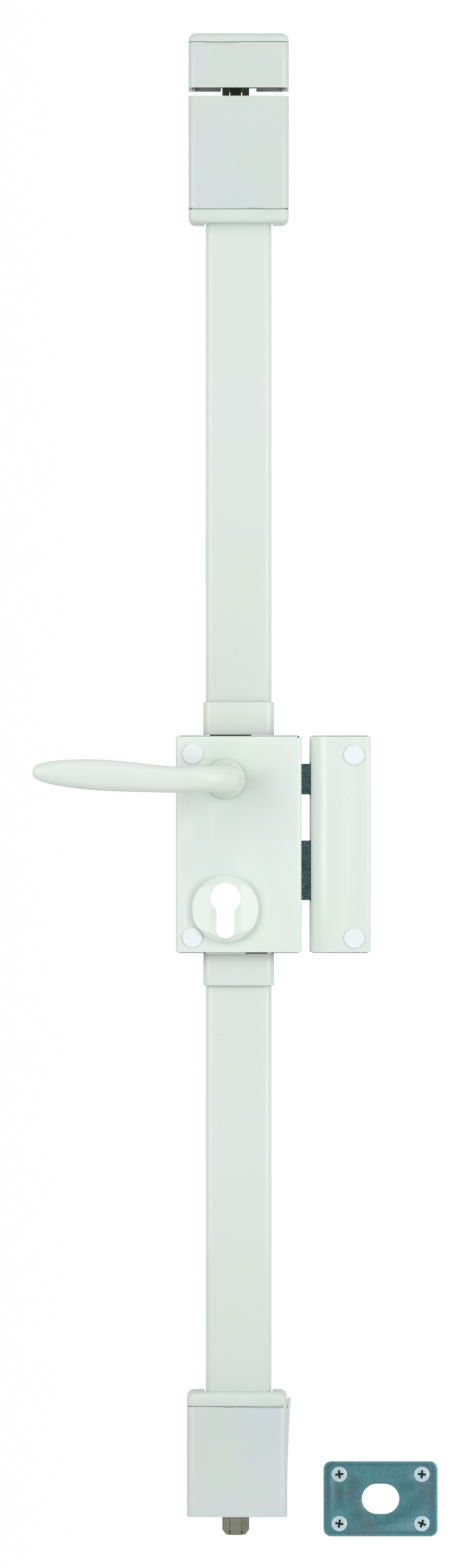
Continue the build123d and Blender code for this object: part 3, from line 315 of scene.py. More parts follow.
def shade(piece: Object, smooth: float = 38.0) -> None:
    """Shade faces that meet at less than this many degrees as one."""
    make_active(piece)
    bpy.ops.object.shade_smooth_by_angle(angle=math.radians(smooth))


def soften(piece: Object, width: float, segments: int = 2, smooth: float = 38.0) -> None:
    """Round the edges sharper than 40 degrees a little and shade the rest smooth.

    Args:
        piece: the piece.
        width: the edge rounding in millimetres.
        segments: faces across each rounding.
        smooth: faces that meet at less than this many degrees are shaded as one.
    """
    apply_modifier(
        piece,
        "BEVEL",
        width=width * MM,
        segments=segments,
        limit_method="ANGLE",
        angle_limit=math.radians(40.0),
        use_clamp_overlap=True,
    )
    shade(piece, smooth)


def dress(piece: Object, material: Material) -> None:
    """Give a piece one material all over."""
    piece.data.materials.clear()
    piece.data.materials.append(material)


def inlay(piece: Object, material: Material, test: Test) -> None:
    """Give the faces that pass a test a second material."""
    piece.data.materials.append(material)
    with editing(piece):
        choose(piece, Pick.FACES, test)
        piece.active_material_index = len(piece.data.materials) - 1
        bpy.ops.object.material_slot_assign()


# Finishes


def blank(name: str) -> tuple[Material, NodeSocket]:
    """A material with an empty tree, and the Object coordinates for its patterns."""
    material = bpy.data.materials.new(name)
    material.use_nodes = True
    material.node_tree.nodes.clear()
    return material, add_node(material.node_tree, "TexCoord").outputs["Object"]


def close(
    material: Material,
    colour: NodeSocket,
    height: NodeSocket,
    strength: float,
    inputs: dict,
) -> Material:
    """End a material in one shader.

    Args:
        material: the material.
        colour: the socket with its colour.
        height: the socket whose value its bump follows.
        strength: how strong the bump is.
        inputs: the shader's other inputs.

    Returns:
        The same material.
    """
    tree = material.node_tree
    bump = add_node(tree, "Bump", {"Height": height, "Strength": strength, "Distance": BUMP_REACH})
    ends = {"Base Color": colour, "Normal": bump.outputs["Normal"], **inputs}
    shader = add_node(tree, "BsdfPrincipled", ends)
    add_node(tree, "OutputMaterial", {"Surface": shader.outputs["BSDF"]})
    return material


@dataclass(frozen=True)
class PowderCoat:
    """Polyester powder coat, sprayed and stoved on steel: an even greenish white with a soft sheen.

    Its orange peel is about 1.6 mm from crest to crest, as the real one is. Its tone drifts slowly.
    Baked-in dust makes sparse dark specks, drawn a little larger than real to show.
    """

    name: str = "powder_coat_white"
    body: str = "DFE9E1"
    cool: str = "DEE7E3"
    roughness: float = 0.33
    patch_mm: float = 60.0
    peel_mm: float = 1.6
    speck_mm: float = 9.0
    speck: str = "6F7C76"
    specks: bool = True

    def build(self) -> Material:
        """Make the material: slow patches of tone, specks and a fine peel in the bump."""
        material, spot = blank(self.name)
        tree = material.node_tree
        patches = add_node(
            tree, "TexNoise", {"Vector": spot, "Scale": 1000 / self.patch_mm, "Detail": 2.0}
        )
        tone = add_node(tree, "ValToRGB", {"Fac": patches.outputs["Fac"]})
        ramp_between(tone, [(0.38, linear(self.body)), (0.66, linear(self.cool))])
        colour = tone.outputs["Color"]
        if self.specks:
            cells = add_node(
                tree, "TexVoronoi", {"Vector": spot, "Scale": 1000 / self.speck_mm, "Randomness": 1.0}
            )
            dots = add_node(tree, "ValToRGB", {"Fac": cells.outputs["Distance"]})
            ramp_between(dots, [(0.012, WHITE), (0.022, BLACK)])
            dot = dots.outputs["Color"]
            sockets = {MIX_SHARE: dot, MIX_FIRST: colour, MIX_SECOND: linear(self.speck)}
            colour = add_node(tree, "Mix", sockets, data_type="RGBA").outputs[MIX_RESULT]
        peel = add_node(tree, "TexNoise", {"Vector": spot, "Scale": 1000 / self.peel_mm, "Detail": 1.0})
        inputs = {"Roughness": self.roughness, "IOR": 1.5}
        return close(material, colour, peel.outputs["Fac"], 0.06, inputs)


@dataclass(frozen=True)
class MouldedPlastic:
    """Moulded plastic: one even colour and a smooth skin, with flow marks that barely show."""

    name: str
    body: str
    roughness: float
    flow_mm: float = 12.0

    def build(self) -> Material:
        """Make the material from two near tones of the body colour and a faint bump."""
        material, spot = blank(self.name)
        tree = material.node_tree
        flow = add_node(tree, "TexNoise", {"Vector": spot, "Scale": 1000 / self.flow_mm})
        tone = add_node(tree, "ValToRGB", {"Fac": flow.outputs["Fac"]})
        body = linear(self.body)
        deeper = tuple(v * 0.96 for v in body[:3]) + (1.0,)
        ramp_between(tone, [(0.35, deeper), (0.65, body)])
        inputs = {"Roughness": self.roughness, "IOR": 1.49}
        return close(material, tone.outputs["Color"], flow.outputs["Fac"], 0.05, inputs)


@dataclass(frozen=True)
class PlatedSteel:
    """Plated or bare steel: a metal whose film colour drifts, with a grain in its tone and bump.

    Real plating crystals are far finer than a pixel, so the grain is drawn 0.5 to 1.1 mm wide to show.
    """

    name: str
    tones: tuple[str, ...]
    roughness: float
    patch_mm: float
    grain_mm: float
    grain_share: float
    metallic: float = 1.0
    painted_shade_below: float | None = None
    bump: float = 0.12

    def build(self) -> Material:
        """Make the material: drifting film colours darkened by the grain.

        Where a depth for painted shade is given, what lies deeper than that Y in millimetres is painted
        near black: painted shade standing in for the shade in a recess.
        """
        material, spot = blank(self.name)
        tree = material.node_tree
        drift = add_node(
            tree,
            "TexNoise",
            {"Vector": spot, "Scale": 1000 / self.patch_mm, "Detail": 4.0, "Distortion": 0.6},
        )
        film = add_node(tree, "ValToRGB", {"Fac": drift.outputs["Fac"]})
        gaps = max(len(self.tones) - 1, 1)
        ramp_between(film, [(0.3 + 0.4 * i / gaps, linear(tone)) for i, tone in enumerate(self.tones)])
        grain = add_node(
            tree, "TexNoise", {"Vector": spot, "Scale": 1000 / self.grain_mm, "Detail": 3.0}
        )
        ends = {"From Min": 0.3, "From Max": 0.7, "To Min": 1.0 - self.grain_share}
        shadow = add_node(tree, "MapRange", {"Value": grain.outputs["Fac"], **ends}).outputs["Result"]
        sockets = {MIX_SHARE: 1.0, MIX_FIRST: film.outputs["Color"], MIX_SECOND: shadow}
        mixed = add_node(tree, "Mix", sockets, data_type="RGBA", blend_type="MULTIPLY")
        colour = mixed.outputs[MIX_RESULT]
        if self.painted_shade_below is not None:
            axes = add_node(tree, "SeparateXYZ", {"Vector": spot})
            deep = {0: axes.outputs["Y"], 1: self.painted_shade_below * MM}
            below = add_node(tree, "Math", deep, operation="GREATER_THAN")
            # Painted shade: deeper than the given Y the colour turns near black, standing in for the
            # shade in the cross recess
            sockets = {MIX_SHARE: below.outputs[0], MIX_FIRST: colour, MIX_SECOND: linear("24343B")}
            colour = add_node(tree, "Mix", sockets, data_type="RGBA").outputs[MIX_RESULT]
        inputs = {"Roughness": self.roughness, "Metallic": self.metallic}
        return close(material, colour, grain.outputs["Fac"], self.bump, inputs)


ZINC_CLOUDS = ("72B2B4", "60A2AA", "6AA4B2", "749CA6", "62A6A2")
ZINC_MOTTLE = ("5E807C", "62858C", "587A73")


class Finish(Enum):
    """Every finish on the lock, by the part that it is for."""

    # Powder coat: whiter on the case, duller on the boxes, a little glossier on the keeper
    COVER = PowderCoat()
    BOX = PowderCoat("powder_coat_box", "CFD9D1", "CDD6D9")
    STRIP = PowderCoat("powder_coat_strip", "D7E1D9", "D9E1DF", patch_mm=110.0)
    KEEPER = PowderCoat("powder_coat_keeper", "DDE8DF", "DEE6E0", 0.26)
    LEVER = PowderCoat("powder_coat_lever", "D9E3D9", "DCE4DE", 0.36, specks=False)
    ROSETTE = PowderCoat("powder_coat_rosette", "DDE7DF", "DFE7E3", 0.38)
    # ABS caps with a dull skin, polished polypropylene plugs, and nylon that looks like wax
    CAP = MouldedPlastic("moulded_cap_white", "D5DFD9", 0.4)
    PLUG = MouldedPlastic("gloss_plug_white", "EAF1F2", 0.22)
    NYLON = MouldedPlastic("nylon_natural", "D8D8CC", 0.45)
    # Zinc plated sheet: an even mid grey with a dull shine
    SHEET_ZINC = PlatedSteel("zinc_plated_sheet", ("8E9492", "A3A9A8"), 0.4, 30.0, 0.8, 0.12)
    # Cast bolts, dark zinc: coarse blue-green mottle
    BOLT_ZINC = PlatedSteel("dark_zinc_bolt", ZINC_MOTTLE, 0.42, 9.0, 0.95, 0.85, 0.5)
    # Turned rod ends, nickel plated: they mirror the soft boxes in two bands
    NICKEL = PlatedSteel("satin_nickel_rod", ("8C8E7E", "A2A290"), 0.09, 14.0, 0.7, 0.1, bump=0.008)
    # Painted shade: the sawn slits' walls and backs are painted near black, standing in for the shade
    # deep in the slits
    SLIT_DARK = PlatedSteel("painted_slit_shade", ("1C211F", "2A2F2C"), 0.5, 6.0, 0.6, 0.2, 0.3)
    # Blue passivated zinc: teal and violet clouds in a thin film
    PLATE_ZINC = PlatedSteel("blue_passivated_zinc", ZINC_CLOUDS, 0.33, 24.0, 1.1, 0.3, 0.6)
    # Bright zinc screws: pale heads, dark in their cross recess; on the floor plate's screws that
    # darkness is painted shade, painted below the head's face
    SCREW_ZINC = PlatedSteel("bright_zinc_screw", ("C6E0E4", "D6ECEC"), 0.34, 4.0, 0.5, 0.1, 0.7)
    # Painted shade: what lies deeper than Y -2.75 mm, the cross recess and the shank, is painted near
    # black
    FLOOR_SCREW = PlatedSteel(
        "bright_zinc_cross_recess", ("C8E6EC", "DAF0F4"), 0.34, 4.0, 0.5, 0.08, 0.35, painted_shade_below=-2.75
    )
    # Drawn steel: a plain grey shine
    BRIGHT_STEEL = PlatedSteel("bright_drawn_steel", ("8A8C8E", "9C9EA0"), 0.3, 12.0, 0.5, 0.1)


class Workshop:
    """Keeps the finished materials and the CAD frame at hand."""

    def __init__(self, frame: dict) -> None:
        """Build every finish once."""
        self.frame = frame
        self.materials = {finish: finish.value.build() for finish in Finish}
        self.made: list[str] = []

    def finish(self, piece: Object, finish: Finish, slot: str, node: str, body: str = "root") -> None:
        """Dress a piece, let it ride on its body and stand for its CAD node."""
        dress(piece, self.materials[finish])
        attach(piece, body)
        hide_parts(node)
        self.made.append(piece.name)
        LOG.info("made %s on %s, %d faces", piece.name, body, len(piece.data.polygons))

    def coat_node(self, node: str, finish: Finish) -> None:
        """Give a CAD node's slots a finish."""
        mesh = self.frame["nodes"][node].data
        if not mesh.materials:
            mesh.materials.append(self.materials[finish])
        for index in range(len(mesh.materials)):
            mesh.materials[index] = self.materials[finish]


def corners(node: str) -> tuple[Vector, Vector]:
    """A CAD node's lowest and highest corner in millimetres."""
    low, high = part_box(node)
    return Vector(low) / MM, Vector(high) / MM


# Sheet metal


def front_hole(x: float, z: float, front: float, radius: float, sides: int = 48) -> Object:
    """A round cutter through the sheet at a front face."""
    return round_bar("cut_hole", (x, front + 4, z), 6.0, radius, sides)


def window(node: str, left: float, right: float, height: float | None, room: float) -> Object:
    """A cutter for a bolt's way through a flank.

    Args:
        node: the bolt's CAD node.
        left: where the cutter starts in X.
        right: where it ends in X.
        height: the bolt's height above its lowest point, or None for the whole node's.
        room: the play all round.

    Returns:
        The cutter.
    """
    low, high = corners(node)
    top = high.z if height is None else low.z + height
    return block("cut_window", (left, low.y - room, low.z - room), (right, high.y + room, top + room))


def open_block(name: str, low: Vector, high: Vector) -> Object:
    """A block with its door side and both its ends open."""
    shell = block(name, tuple(low), tuple(high))
    with editing(shell):
        choose(shell, Pick.FACES, lambda p, n: n.y > FLAT or abs(n.z) > FLAT)
        bpy.ops.mesh.delete(type="FACE")
    return shell


def thicken(shell: Object, sheet: float) -> None:
    """Give a shell its sheet thickness, inwards."""
    apply_modifier(shell, "SOLIDIFY", thickness=sheet * MM, offset=-1.0, use_even_offset=True)


@dataclass
class FoldedCover:
    """A steel sheet folded to a U round two upright bends, open to the door."""

    name: str
    node: str
    bend: float
    sheet: float = 1.5
    bend_faces: int = 8

    def build(self) -> Object:
        """Fold the sheet to the CAD node's box, still without its openings."""
        return self.fold(*corners(self.node))

    def fold(self, low: Vector, high: Vector) -> Object:
        """Fold the sheet between two corners."""
        shell = open_block(self.name, low, high)
        with editing(shell):
            choose(shell, Pick.EDGES, lambda p, n: front_corner(p, low.y))
            bevel(self.bend, self.bend_faces)
        thicken(shell, self.sheet)
        return shell


@dataclass
class ProfileOpening:
    """The euro profile hole: a round head with a narrower stem."""

    centre_x: float = SPINDLE[0]
    centre_z: float = -31.6
    head_r: float = 8.85
    stem: float = 10.6
    height: float = 33.0

    def cutters(self, back: float, front: float, extra: float) -> list[Object]:
        """Round and straight cutters from one depth to another, larger all round by extra."""
        stem_r = self.stem / 2 + extra
        foot_z = self.centre_z - (self.height - self.head_r - self.stem / 2)
        length = front - back
        x, z = self.centre_x, self.centre_z
        return [
            round_bar("cut_head", (x, -back, z), length, self.head_r + extra),
            round_bar("cut_foot", (x, -back, foot_z), length, stem_r, 64),
            block("cut_stem", (x - stem_r, -front, foot_z), (x + stem_r, -back, z)),
        ]


@dataclass
class LockCase:
    """The lock case: its cover and rosette."""

    shop: Workshop
    depth: float = 32.0
    bend: float = 2.5
    lever_bore: float = 9.5
    plug_x: float = -27.2
    plug_z: tuple[float, float] = (53.1, -54.9)
    bolt_room: float = 0.3
    nick_x: float = 35.1
    nick_half: float = 0.45
    nick_deep: float = 0.9
    opening: ProfileOpening = field(default_factory=ProfileOpening)
    opening_room: float = 0.5
    rosette_r: float = 19.5
    rosette_drop: float = 6.4
    rosette_thick: float = 6.0
    rim: float = 3.0
    rim_drop: float = 2.4
    band: float = 9.1
    facet_edge: float = 2.4

    def build(self) -> None:
        """Make the cover and the rosette."""
        self.cover()
        self.rosette()

    def cover(self) -> None:
        """The folded cover with its nick and its openings for lever, cylinder, plugs and bolts."""
        shell = FoldedCover("lock_case_cover", "case_cover", self.bend).build()
        low, high = corners("case_cover")
        cutters = self.opening.cutters(self.depth - 4, self.depth + 2, self.opening_room)
        cutters.append(front_hole(*SPINDLE, -self.depth, self.lever_bore, 96))
        cutters += [front_hole(self.plug_x, z, -self.depth, PLUG_BORE) for z in self.plug_z]
        for node, height in (("latch_bolt", LATCH_HEIGHT), ("dead_bolt", None)):
            cutters.append(window(node, high.x - 3, high.x + 1, height, self.bolt_room))
        nick = block(
            "cut_nick",
            (self.nick_x - self.nick_half, low.y - 1, high.z - self.nick_deep),
            (self.nick_x + self.nick_half, low.y + 3, high.z + 1),
        )
        cut_away(shell, *cutters, nick)
        soften(shell, 0.2)
        self.shop.finish(shell, Finish.COVER, "white_paint", "case_cover")

    def rosette(self) -> None:
        """The cylinder rosette: chamfered rim, flat middle band and two sloping sides."""
        x, z = self.opening.centre_x, self.opening.centre_z - self.rosette_drop
        front = -self.depth - self.rosette_thick
        thick = self.rosette_thick - self.rim_drop
        disc = round_bar("profile_rosette", (x, -self.depth, z), thick, self.rosette_r, 128)
        share = (self.rosette_r - self.rim) / self.rosette_r
        run = self.rosette_r - self.band
        rise = self.rosette_thick - self.facet_edge
        with editing(disc):
            choose(disc, Pick.FACES, lambda p, n: n.y < -FLAT)
            extrude(0, -self.rim_drop, 0)
            resize((share, 1, share), (x, front, z))
            for side in (-1, 1):
                slope = Vector((side * rise, -run, 0)).normalized()
                bisect((x + side * self.band, front, z), slope, use_fill=True, clear_outer=True)
        cut_away(disc, *self.opening.cutters(self.depth - 1, self.depth + 8, 0.0))
        soften(disc, 0.18, smooth=13.0)
        self.shop.finish(disc, Finish.ROSETTE, "rosette_paint", "cylinder_rosette")


@dataclass
class CapPlugs:
    """Domed snap-in plugs that close the fixing holes."""

    shop: Workshop
    name: str
    node: str
    body_r: float = 5.95
    dome: float = 1.5
    crown: float = 0.3
    head_bend: float = 0.8
    stem_r: float = 4.3
    stem: float = 5.5

    def build(self) -> None:
        """Make one plug at each end of the CAD node and join them."""
        low, high = corners(self.node)
        face = low.y + self.dome
        x = (low.x + high.x) / 2
        piece = join(*[self.plug(x, z, face) for z in (high.z - self.body_r, low.z + self.body_r)])
        piece.name = self.name
        shade(piece, 50.0)
        self.shop.finish(piece, Finish.PLUG, "plug_plastic", self.node)

    def plug(self, x: float, z: float, face: float) -> Object:
        """One plug: a head with a low crown, on a stem."""
        head = round_bar("plug", (x, face, z), self.dome - self.crown, self.body_r, 64)
        with editing(head):
            choose(head, Pick.FACES, lambda p, n: n.y < -FLAT)
            bevel(self.head_bend, 5)
            choose(head, Pick.FACES, lambda p, n: n.y < -0.95 and len(p) > 8)
            for rise in (0.14, 0.06):
                inset(1.6)
                shift(0, -rise, 0)
            choose(head, Pick.FACES, lambda p, n: n.y > FLAT)
            inset(self.body_r - self.stem_r)
            extrude(0, self.stem, 0)
        return head


@dataclass
class EndCap:
    """A moulded cap closing a cover's end, rounded outside and notched for the strip."""

    shop: Workshop
    name: str
    node: str
    outer_low: bool
    skirt: float
    round_r: float
    strip: tuple[float, float] | None = None
    upright_r: float = 4.5
    strip_depth: float = 22.15
    strip_bend: float = 4.0
    lug: float = 3.8
    lug_inset: float = 1.65

    def build(self) -> None:
        """Make the cap from a block whose outer rim is rounded."""
        low, high = corners(self.node)
        if self.outer_low:
            out, outer_z, inner_z = -1, low.z, low.z + self.skirt
        else:
            out, outer_z, inner_z = 1, high.z, high.z - self.skirt
        cap = block(
            self.name,
            (low.x, low.y, min(outer_z, inner_z)),
            (high.x, high.y, max(outer_z, inner_z)),
        )
        with editing(cap):
            choose(cap, Pick.EDGES, lambda p, n: front_corner(p, low.y))
            bevel(self.upright_r, 8)
            choose(
                cap,
                Pick.EDGES,
                lambda p, n: all(abs(v.z - outer_z) < NEAR for v in p) and min(p[0].y, p[1].y) < -NEAR,
            )
            bevel(self.round_r, 7)
            choose(cap, Pick.FACES, lambda p, n: n.z * out < -FLAT)
            inset(self.lug_inset)
            extrude(0, 0, -out * self.lug)
        if self.strip:
            left, right = self.strip
            cutter = block("cut_strip", (left, -self.strip_depth, low.z - 2), (right, 2, high.z + 2))
            with editing(cutter):
                choose(cutter, Pick.EDGES, lambda p, n: front_corner(p, -self.strip_depth))
                bevel(self.strip_bend, 6)
            cut_away(cap, cutter)
        soften(cap, 0.25)
        self.shop.finish(cap, Finish.CAP, "moulded_white", self.node)


@dataclass
class BoxCover:
    """The folded cover of a rod box or the strike, worn open in places along its seam with the cap."""

    shop: Workshop
    name: str
    node: str
    seam_wear: tuple[Point, ...]
    seam_top: bool = False
    bend: float = 4.5

    def build(self) -> None:
        """Make the cover, round its edges, open its seam and dress it.

        Each row of the wear gives where it starts and ends in X, and how deep it is.
        """
        shell = self.shape()
        front = corners(self.node)[0].y
        soften(shell, 0.22)
        gaps = []
        for start, end, deep in self.seam_wear:
            z = self.seam(start)
            gaps.append(block("cut_gap", (start, front - 1, z - deep), (end, front + 4, z + deep)))
        cut_away(shell, *gaps)
        shade(shell)
        self.shop.finish(shell, Finish.BOX, "white_paint", self.node)

    def shape(self) -> Object:
        """Fold the cover to the CAD node's box."""
        return FoldedCover(self.name, self.node, self.bend).build()

    def seam(self, x: float) -> float:
        """The seam's height at a place across the front."""
        low, high = corners(self.node)
        return high.z if self.seam_top else low.z


@dataclass
class BentBoxCover(BoxCover):
    """The bottom box's cover, with its slanting seam and its sprung right flank."""

    left: float = -30.45
    right: float = 28.55
    top: float = -331.2
    bottom: float = -396.4
    slant: float = 1.1
    flare: float = 2.2
    flare_length: float = 60.0
    flare_rows: int = 12
    ear: float = 3.0
    depth: float = 30.0

    def shape(self) -> Object:
        """Fold the sheet with cross rows, push the flank out, then trim the seam."""
        corner = Vector((self.right, 0, self.top + self.ear))
        shell = FoldedCover(self.name, self.node, self.bend).fold(
            Vector((self.left, -self.depth, self.bottom)), corner
        )
        with editing(shell):
            for row in range(1, self.flare_rows):
                height = self.top - self.flare_length * (1 - row / self.flare_rows)
                bisect((0, 0, height), (0, 0, 1))
        pushes = sorted({self.push(v.co / MM) for v in shell.data.vertices} - {0.0})
        with editing(shell):
            for push in pushes:
                choose(shell, Pick.VERTICES, lambda p, n, now=push: self.push(p[0]) == now)
                shift(push, 0, 0)
        ends = self.left - 5, self.right + 8
        trim = block("cut_seam", (ends[0], -self.depth - 2, self.top), (ends[1], 5, self.top + 15))
        with editing(trim):
            for side, x in zip((-1, 1), ends):
                choose(trim, Pick.VERTICES, lambda p, n, now=side: p[0].x * now > 0)
                shift(0, 0, self.seam(x) - self.top)
        ear_room = block(
            "ear_room",
            (self.right - 0.2, -self.depth + self.bend + 4, self.top - 8),
            (ends[1], 5, self.top + 12),
        )
        cut_away(trim, ear_room)
        cut_away(shell, trim)
        return shell

    def seam(self, x: float) -> float:
        """The slanting seam's height at a place across the front."""
        return self.top - self.slant / (self.right - self.left) * (x - self.left)

    def push(self, point: Vector) -> float:
        """How far the sprung flank stands out at a point, in millimetres."""
        if point.x < 0:
            return 0.0
        share = max(0.0, (point.z - (self.top - self.flare_length)) / self.flare_length)
        inward = min(1.0, max(0.0, (point.y + self.depth) / self.bend))
        back = min(1.0, max(0.15, (point.y + self.depth) / (self.depth * 0.6)))
        return round(self.flare * share**1.6 * inward * back, 3)


@dataclass
class Strip:
    """A cover strip with the collar that it leaves the case through."""

    shop: Workshop
    side: str
    bend: float = 4.0
    sheet: float = 1.2
    edge: float = 0.18
    collar_bend: float = 5.0
    collar_sheet: float = 1.3
    collar_edge: float = 0.3

    def build(self) -> None:
        """Fold the strip and the collar."""
        for name, node, bend, sheet, edge in (
            ("strip", "strip_cover", self.bend, self.sheet, self.edge),
            ("sleeve", "collar", self.collar_bend, self.collar_sheet, self.collar_edge),
        ):
            node = f"{self.side}_{node}"
            piece = FoldedCover(f"{self.side}_{name}", node, bend, sheet).build()
            soften(piece, edge)
            self.shop.finish(piece, Finish.STRIP, "white_paint", node)


@dataclass
class Keeper:
    """The side keeper's cover: a folded sheet whose left edge slopes back as a lead-in."""

    shop: Workshop
    sheet: float = 1.5
    ramp_x: float = 6.6
    ramp_deep: float = 7.0
    bend: float = 2.4
    ridge_x: float = 10.4
    ridge_deep: float = 1.3
    ridge_bend: float = 2.6
    lip_bend: float = 0.9
    corner: float = 2.2
    plug_x: float = 68.0
    plug_z: tuple[float, float] = (52.5, -55.4)
    bolt_room: float = 0.5
    dead_bolt_height: float = 35.0

    def build(self) -> None:
        """Fold the sheet, slope its left front edge and cut its openings."""
        low, high = corners("keeper_cover")
        shell = open_block("side_keeper_cover", low, high)
        with editing(shell):
            for reach in (self.ramp_x, self.ridge_x):
                bisect((low.x + reach, 0, 0), (1, 0, 0))
            for x, deep in ((low.x, self.ramp_deep), (low.x + self.ramp_x, self.ridge_deep)):
                choose(
                    shell,
                    Pick.VERTICES,
                    lambda p, n, at=x: abs(p[0].x - at) < NEAR and p[0].y < low.y + NEAR,
                )
                shift(0, deep, 0)
            for x, y, radius, faces in (
                (low.x + self.ramp_x, low.y + self.ridge_deep, self.ridge_bend, 6),
                (high.x, low.y, self.bend, 6),
                (low.x, low.y + self.ramp_deep, self.lip_bend, 4),
            ):
                spot = Vector((x, y))
                choose(
                    shell,
                    Pick.EDGES,
                    lambda p, n: abs(p[0].z - p[1].z) > 1 and (p[0].xy - spot).length < NEAR,
                )
                bevel(radius, faces)
        thicken(shell, self.sheet)
        cutters = [front_hole(self.plug_x, z, low.y, PLUG_BORE) for z in self.plug_z]
        for node, height in (("latch_bolt", LATCH_HEIGHT), ("dead_bolt", self.dead_bolt_height)):
            cutters.append(window(node, low.x - 1, low.x + 3, height, self.bolt_room))
        half = self.corner / 2
        for x, z in ((high.x, high.z), (low.x, low.z)):
            ends = (x - half, low.y - 2, z - half), (x + half, low.y + 9, z + half)
            cutters.append(block("cut_corner", *ends))
        cut_away(shell, *cutters)
        soften(shell, 0.2)
        self.shop.finish(shell, Finish.KEEPER, "white_paint", "keeper_cover")


@dataclass
class RodEnd:
    """The round end of a rod, chamfered to a smaller tip with two fine slits."""

    shop: Workshop
    side: str
    tip_up: bool
    radius: float = 8.0
    tip_r: float = 6.0
    chamfer: float = 3.0
    slit_x: float = 3.5
    slit_half: float = 0.25
    slit_back: float = 4.5

    def build(self) -> None:
        """Make the bar, draw in its tip and cut the slits."""
        node = f"{self.side}_rod_end"
        low, high = corners(node)
        x, y = (low.x + high.x) / 2, (low.y + high.y) / 2
        length = high.z - low.z - self.chamfer
        start = low.z if self.tip_up else low.z + self.chamfer
        bar = round_bar(f"{self.side}_bolt_end", (x, y, start), length, self.radius, 64, Toward.UP)
        way = 1 if self.tip_up else -1
        tip = start + length if self.tip_up else start
        with editing(bar):
            choose(bar, Pick.FACES, lambda p, n: n.z * way > FLAT)
            extrude(0, 0, way * self.chamfer)
            share = self.tip_r / self.radius
            resize((share, share, 1), (x, y, tip))
        ends = sorted((tip - 0.2 * way, tip + (self.chamfer + 0.4) * way))
        back = y - self.slit_back
        cutters = []
        for middle in (x - self.slit_x, x + self.slit_x):
            cutters.append(
                block(
                    "cut_slit",
                    (middle - self.slit_half, y - self.radius - 0.5, ends[0]),
                    (middle + self.slit_half, back, ends[1]),
                )
            )
        cut_away(bar, *cutters)
        soften(bar, 0.3, 3)
        body = "upper_rod" if self.tip_up else "lower_rod"
        self.shop.finish(bar, Finish.NICKEL, "nickel", node, body)
        reach = self.slit_half + NEAR
        # Painted shade: the slit walls and backs get the near-black finish
        inlay(
            bar,
            self.shop.materials[Finish.SLIT_DARK],
            lambda p, n: all(abs(abs(v.x - x) - self.slit_x) < reach and v.y < y for v in p)
            and (abs(n.x) > FLAT or all(abs(v.y - back) < NEAR for v in p)),
        )


@dataclass
class Lever:
    """The lever: a round hub, a neck that turns left and a grip that swells and tapers."""

    shop: Workshop
    face: float = 32.3
    disc: float = 1.2
    hub_r: float = 12.0
    hub: tuple[tuple[float, float], ...] = ((35.0, 11.4), (38.0, 10.2), (43.0, 9.3), (49.0, 8.9))
    hub_bore: float = 8.0
    hub_tail: float = 4.0
    neck_r: float = 8.6
    out: float = 72.0
    elbow: float = 17.0
    elbow_steps: int = 4
    thinner: tuple[float, float] = (1.6, 0.8)
    flatness: float = 0.78
    ring: int = 16
    grip: tuple[Point, ...] = (
        (-37.0, 37.8, 7.7),
        (-50.0, 38.7, 8.2),
        (-65.0, 39.8, 9.0),
        (-80.0, 40.7, 9.4),
        (-95.0, 41.4, 8.8),
        (-107.0, 42.0, 7.4),
        (-115.0, 42.3, 5.7),
        (-119.0, 42.4, 3.9),
        (-120.4, 42.4, 1.8),
    )
    at: Vector = field(init=False)
    size: Vector = field(init=False)

    def build(self) -> None:
        """Grow the lever ring by ring from its hub to its tip.

        A row of the hub is a depth and a radius. A row of the grip is an X, a Z and a half height.
        """
        x, z = SPINDLE
        start = (x, -self.face, z)
        lever = round_bar("lever_handle_cast", start, self.disc, self.hub_r, self.ring)
        with editing(lever):
            choose(lever, Pick.FACES, lambda p, n: n.y < -FLAT)
            self.at = Vector((x, -self.face - self.disc, z))
            self.size = Vector((self.hub_r, self.hub_r))
            neck_end = self.out - self.elbow
            for depth, radius in (*self.hub, (neck_end, self.neck_r)):
                self.grow(Vector((x, -depth, z)), radius, radius, 0.0)
            turned = 0.0
            for step in range(1, self.elbow_steps + 1):
                share = step / self.elbow_steps
                turn = share * math.pi / 2
                across, out = self.elbow * (1 - math.cos(turn)), self.elbow * math.sin(turn)
                spot = Vector((x - across, -neck_end - out, z))
                side, height = (self.neck_r - loss * share for loss in self.thinner)
                self.grow(spot, side, height, turn - turned)
                turned = turn
            for grip_x, grip_z, half in self.grip:
                self.grow(Vector((grip_x, -self.out, grip_z)), half * self.flatness, half, 0.0)
            choose(lever, Pick.FACES, lambda p, n: n.y > FLAT and len(p) > 8)
            inset(self.hub_r - self.hub_bore)
            extrude(0, self.hub_tail, 0)
        apply_modifier(lever, "SUBSURF", levels=3, render_levels=3)
        shade(lever, 60.0)
        self.shop.finish(lever, Finish.LEVER, "white_paint", "lever_handle", "lever")

    def grow(self, spot: Vector, side: float, height: float, turn: float) -> None:
        """Extrude the end ring to a new place, then size and turn it.

        Args:
            spot: the ring's new centre in millimetres.
            side: its half width across the lever, seen from above.
            height: its half height.
            turn: how far it turns about the upright, in radians.
        """
        move = (spot - self.at) * MM
        bpy.ops.mesh.extrude_region_move(TRANSFORM_OT_translate={"value": tuple(move)})
        if turn:
            bpy.ops.transform.rotate(
                value=turn, orient_axis="Z", orient_type="GLOBAL", center_override=tuple(spot * MM)
            )
        wide, tall = side / self.size.x, height / self.size.y
        resize((wide, wide, tall), spot)
        self.at = spot
        self.size = Vector((side, height))


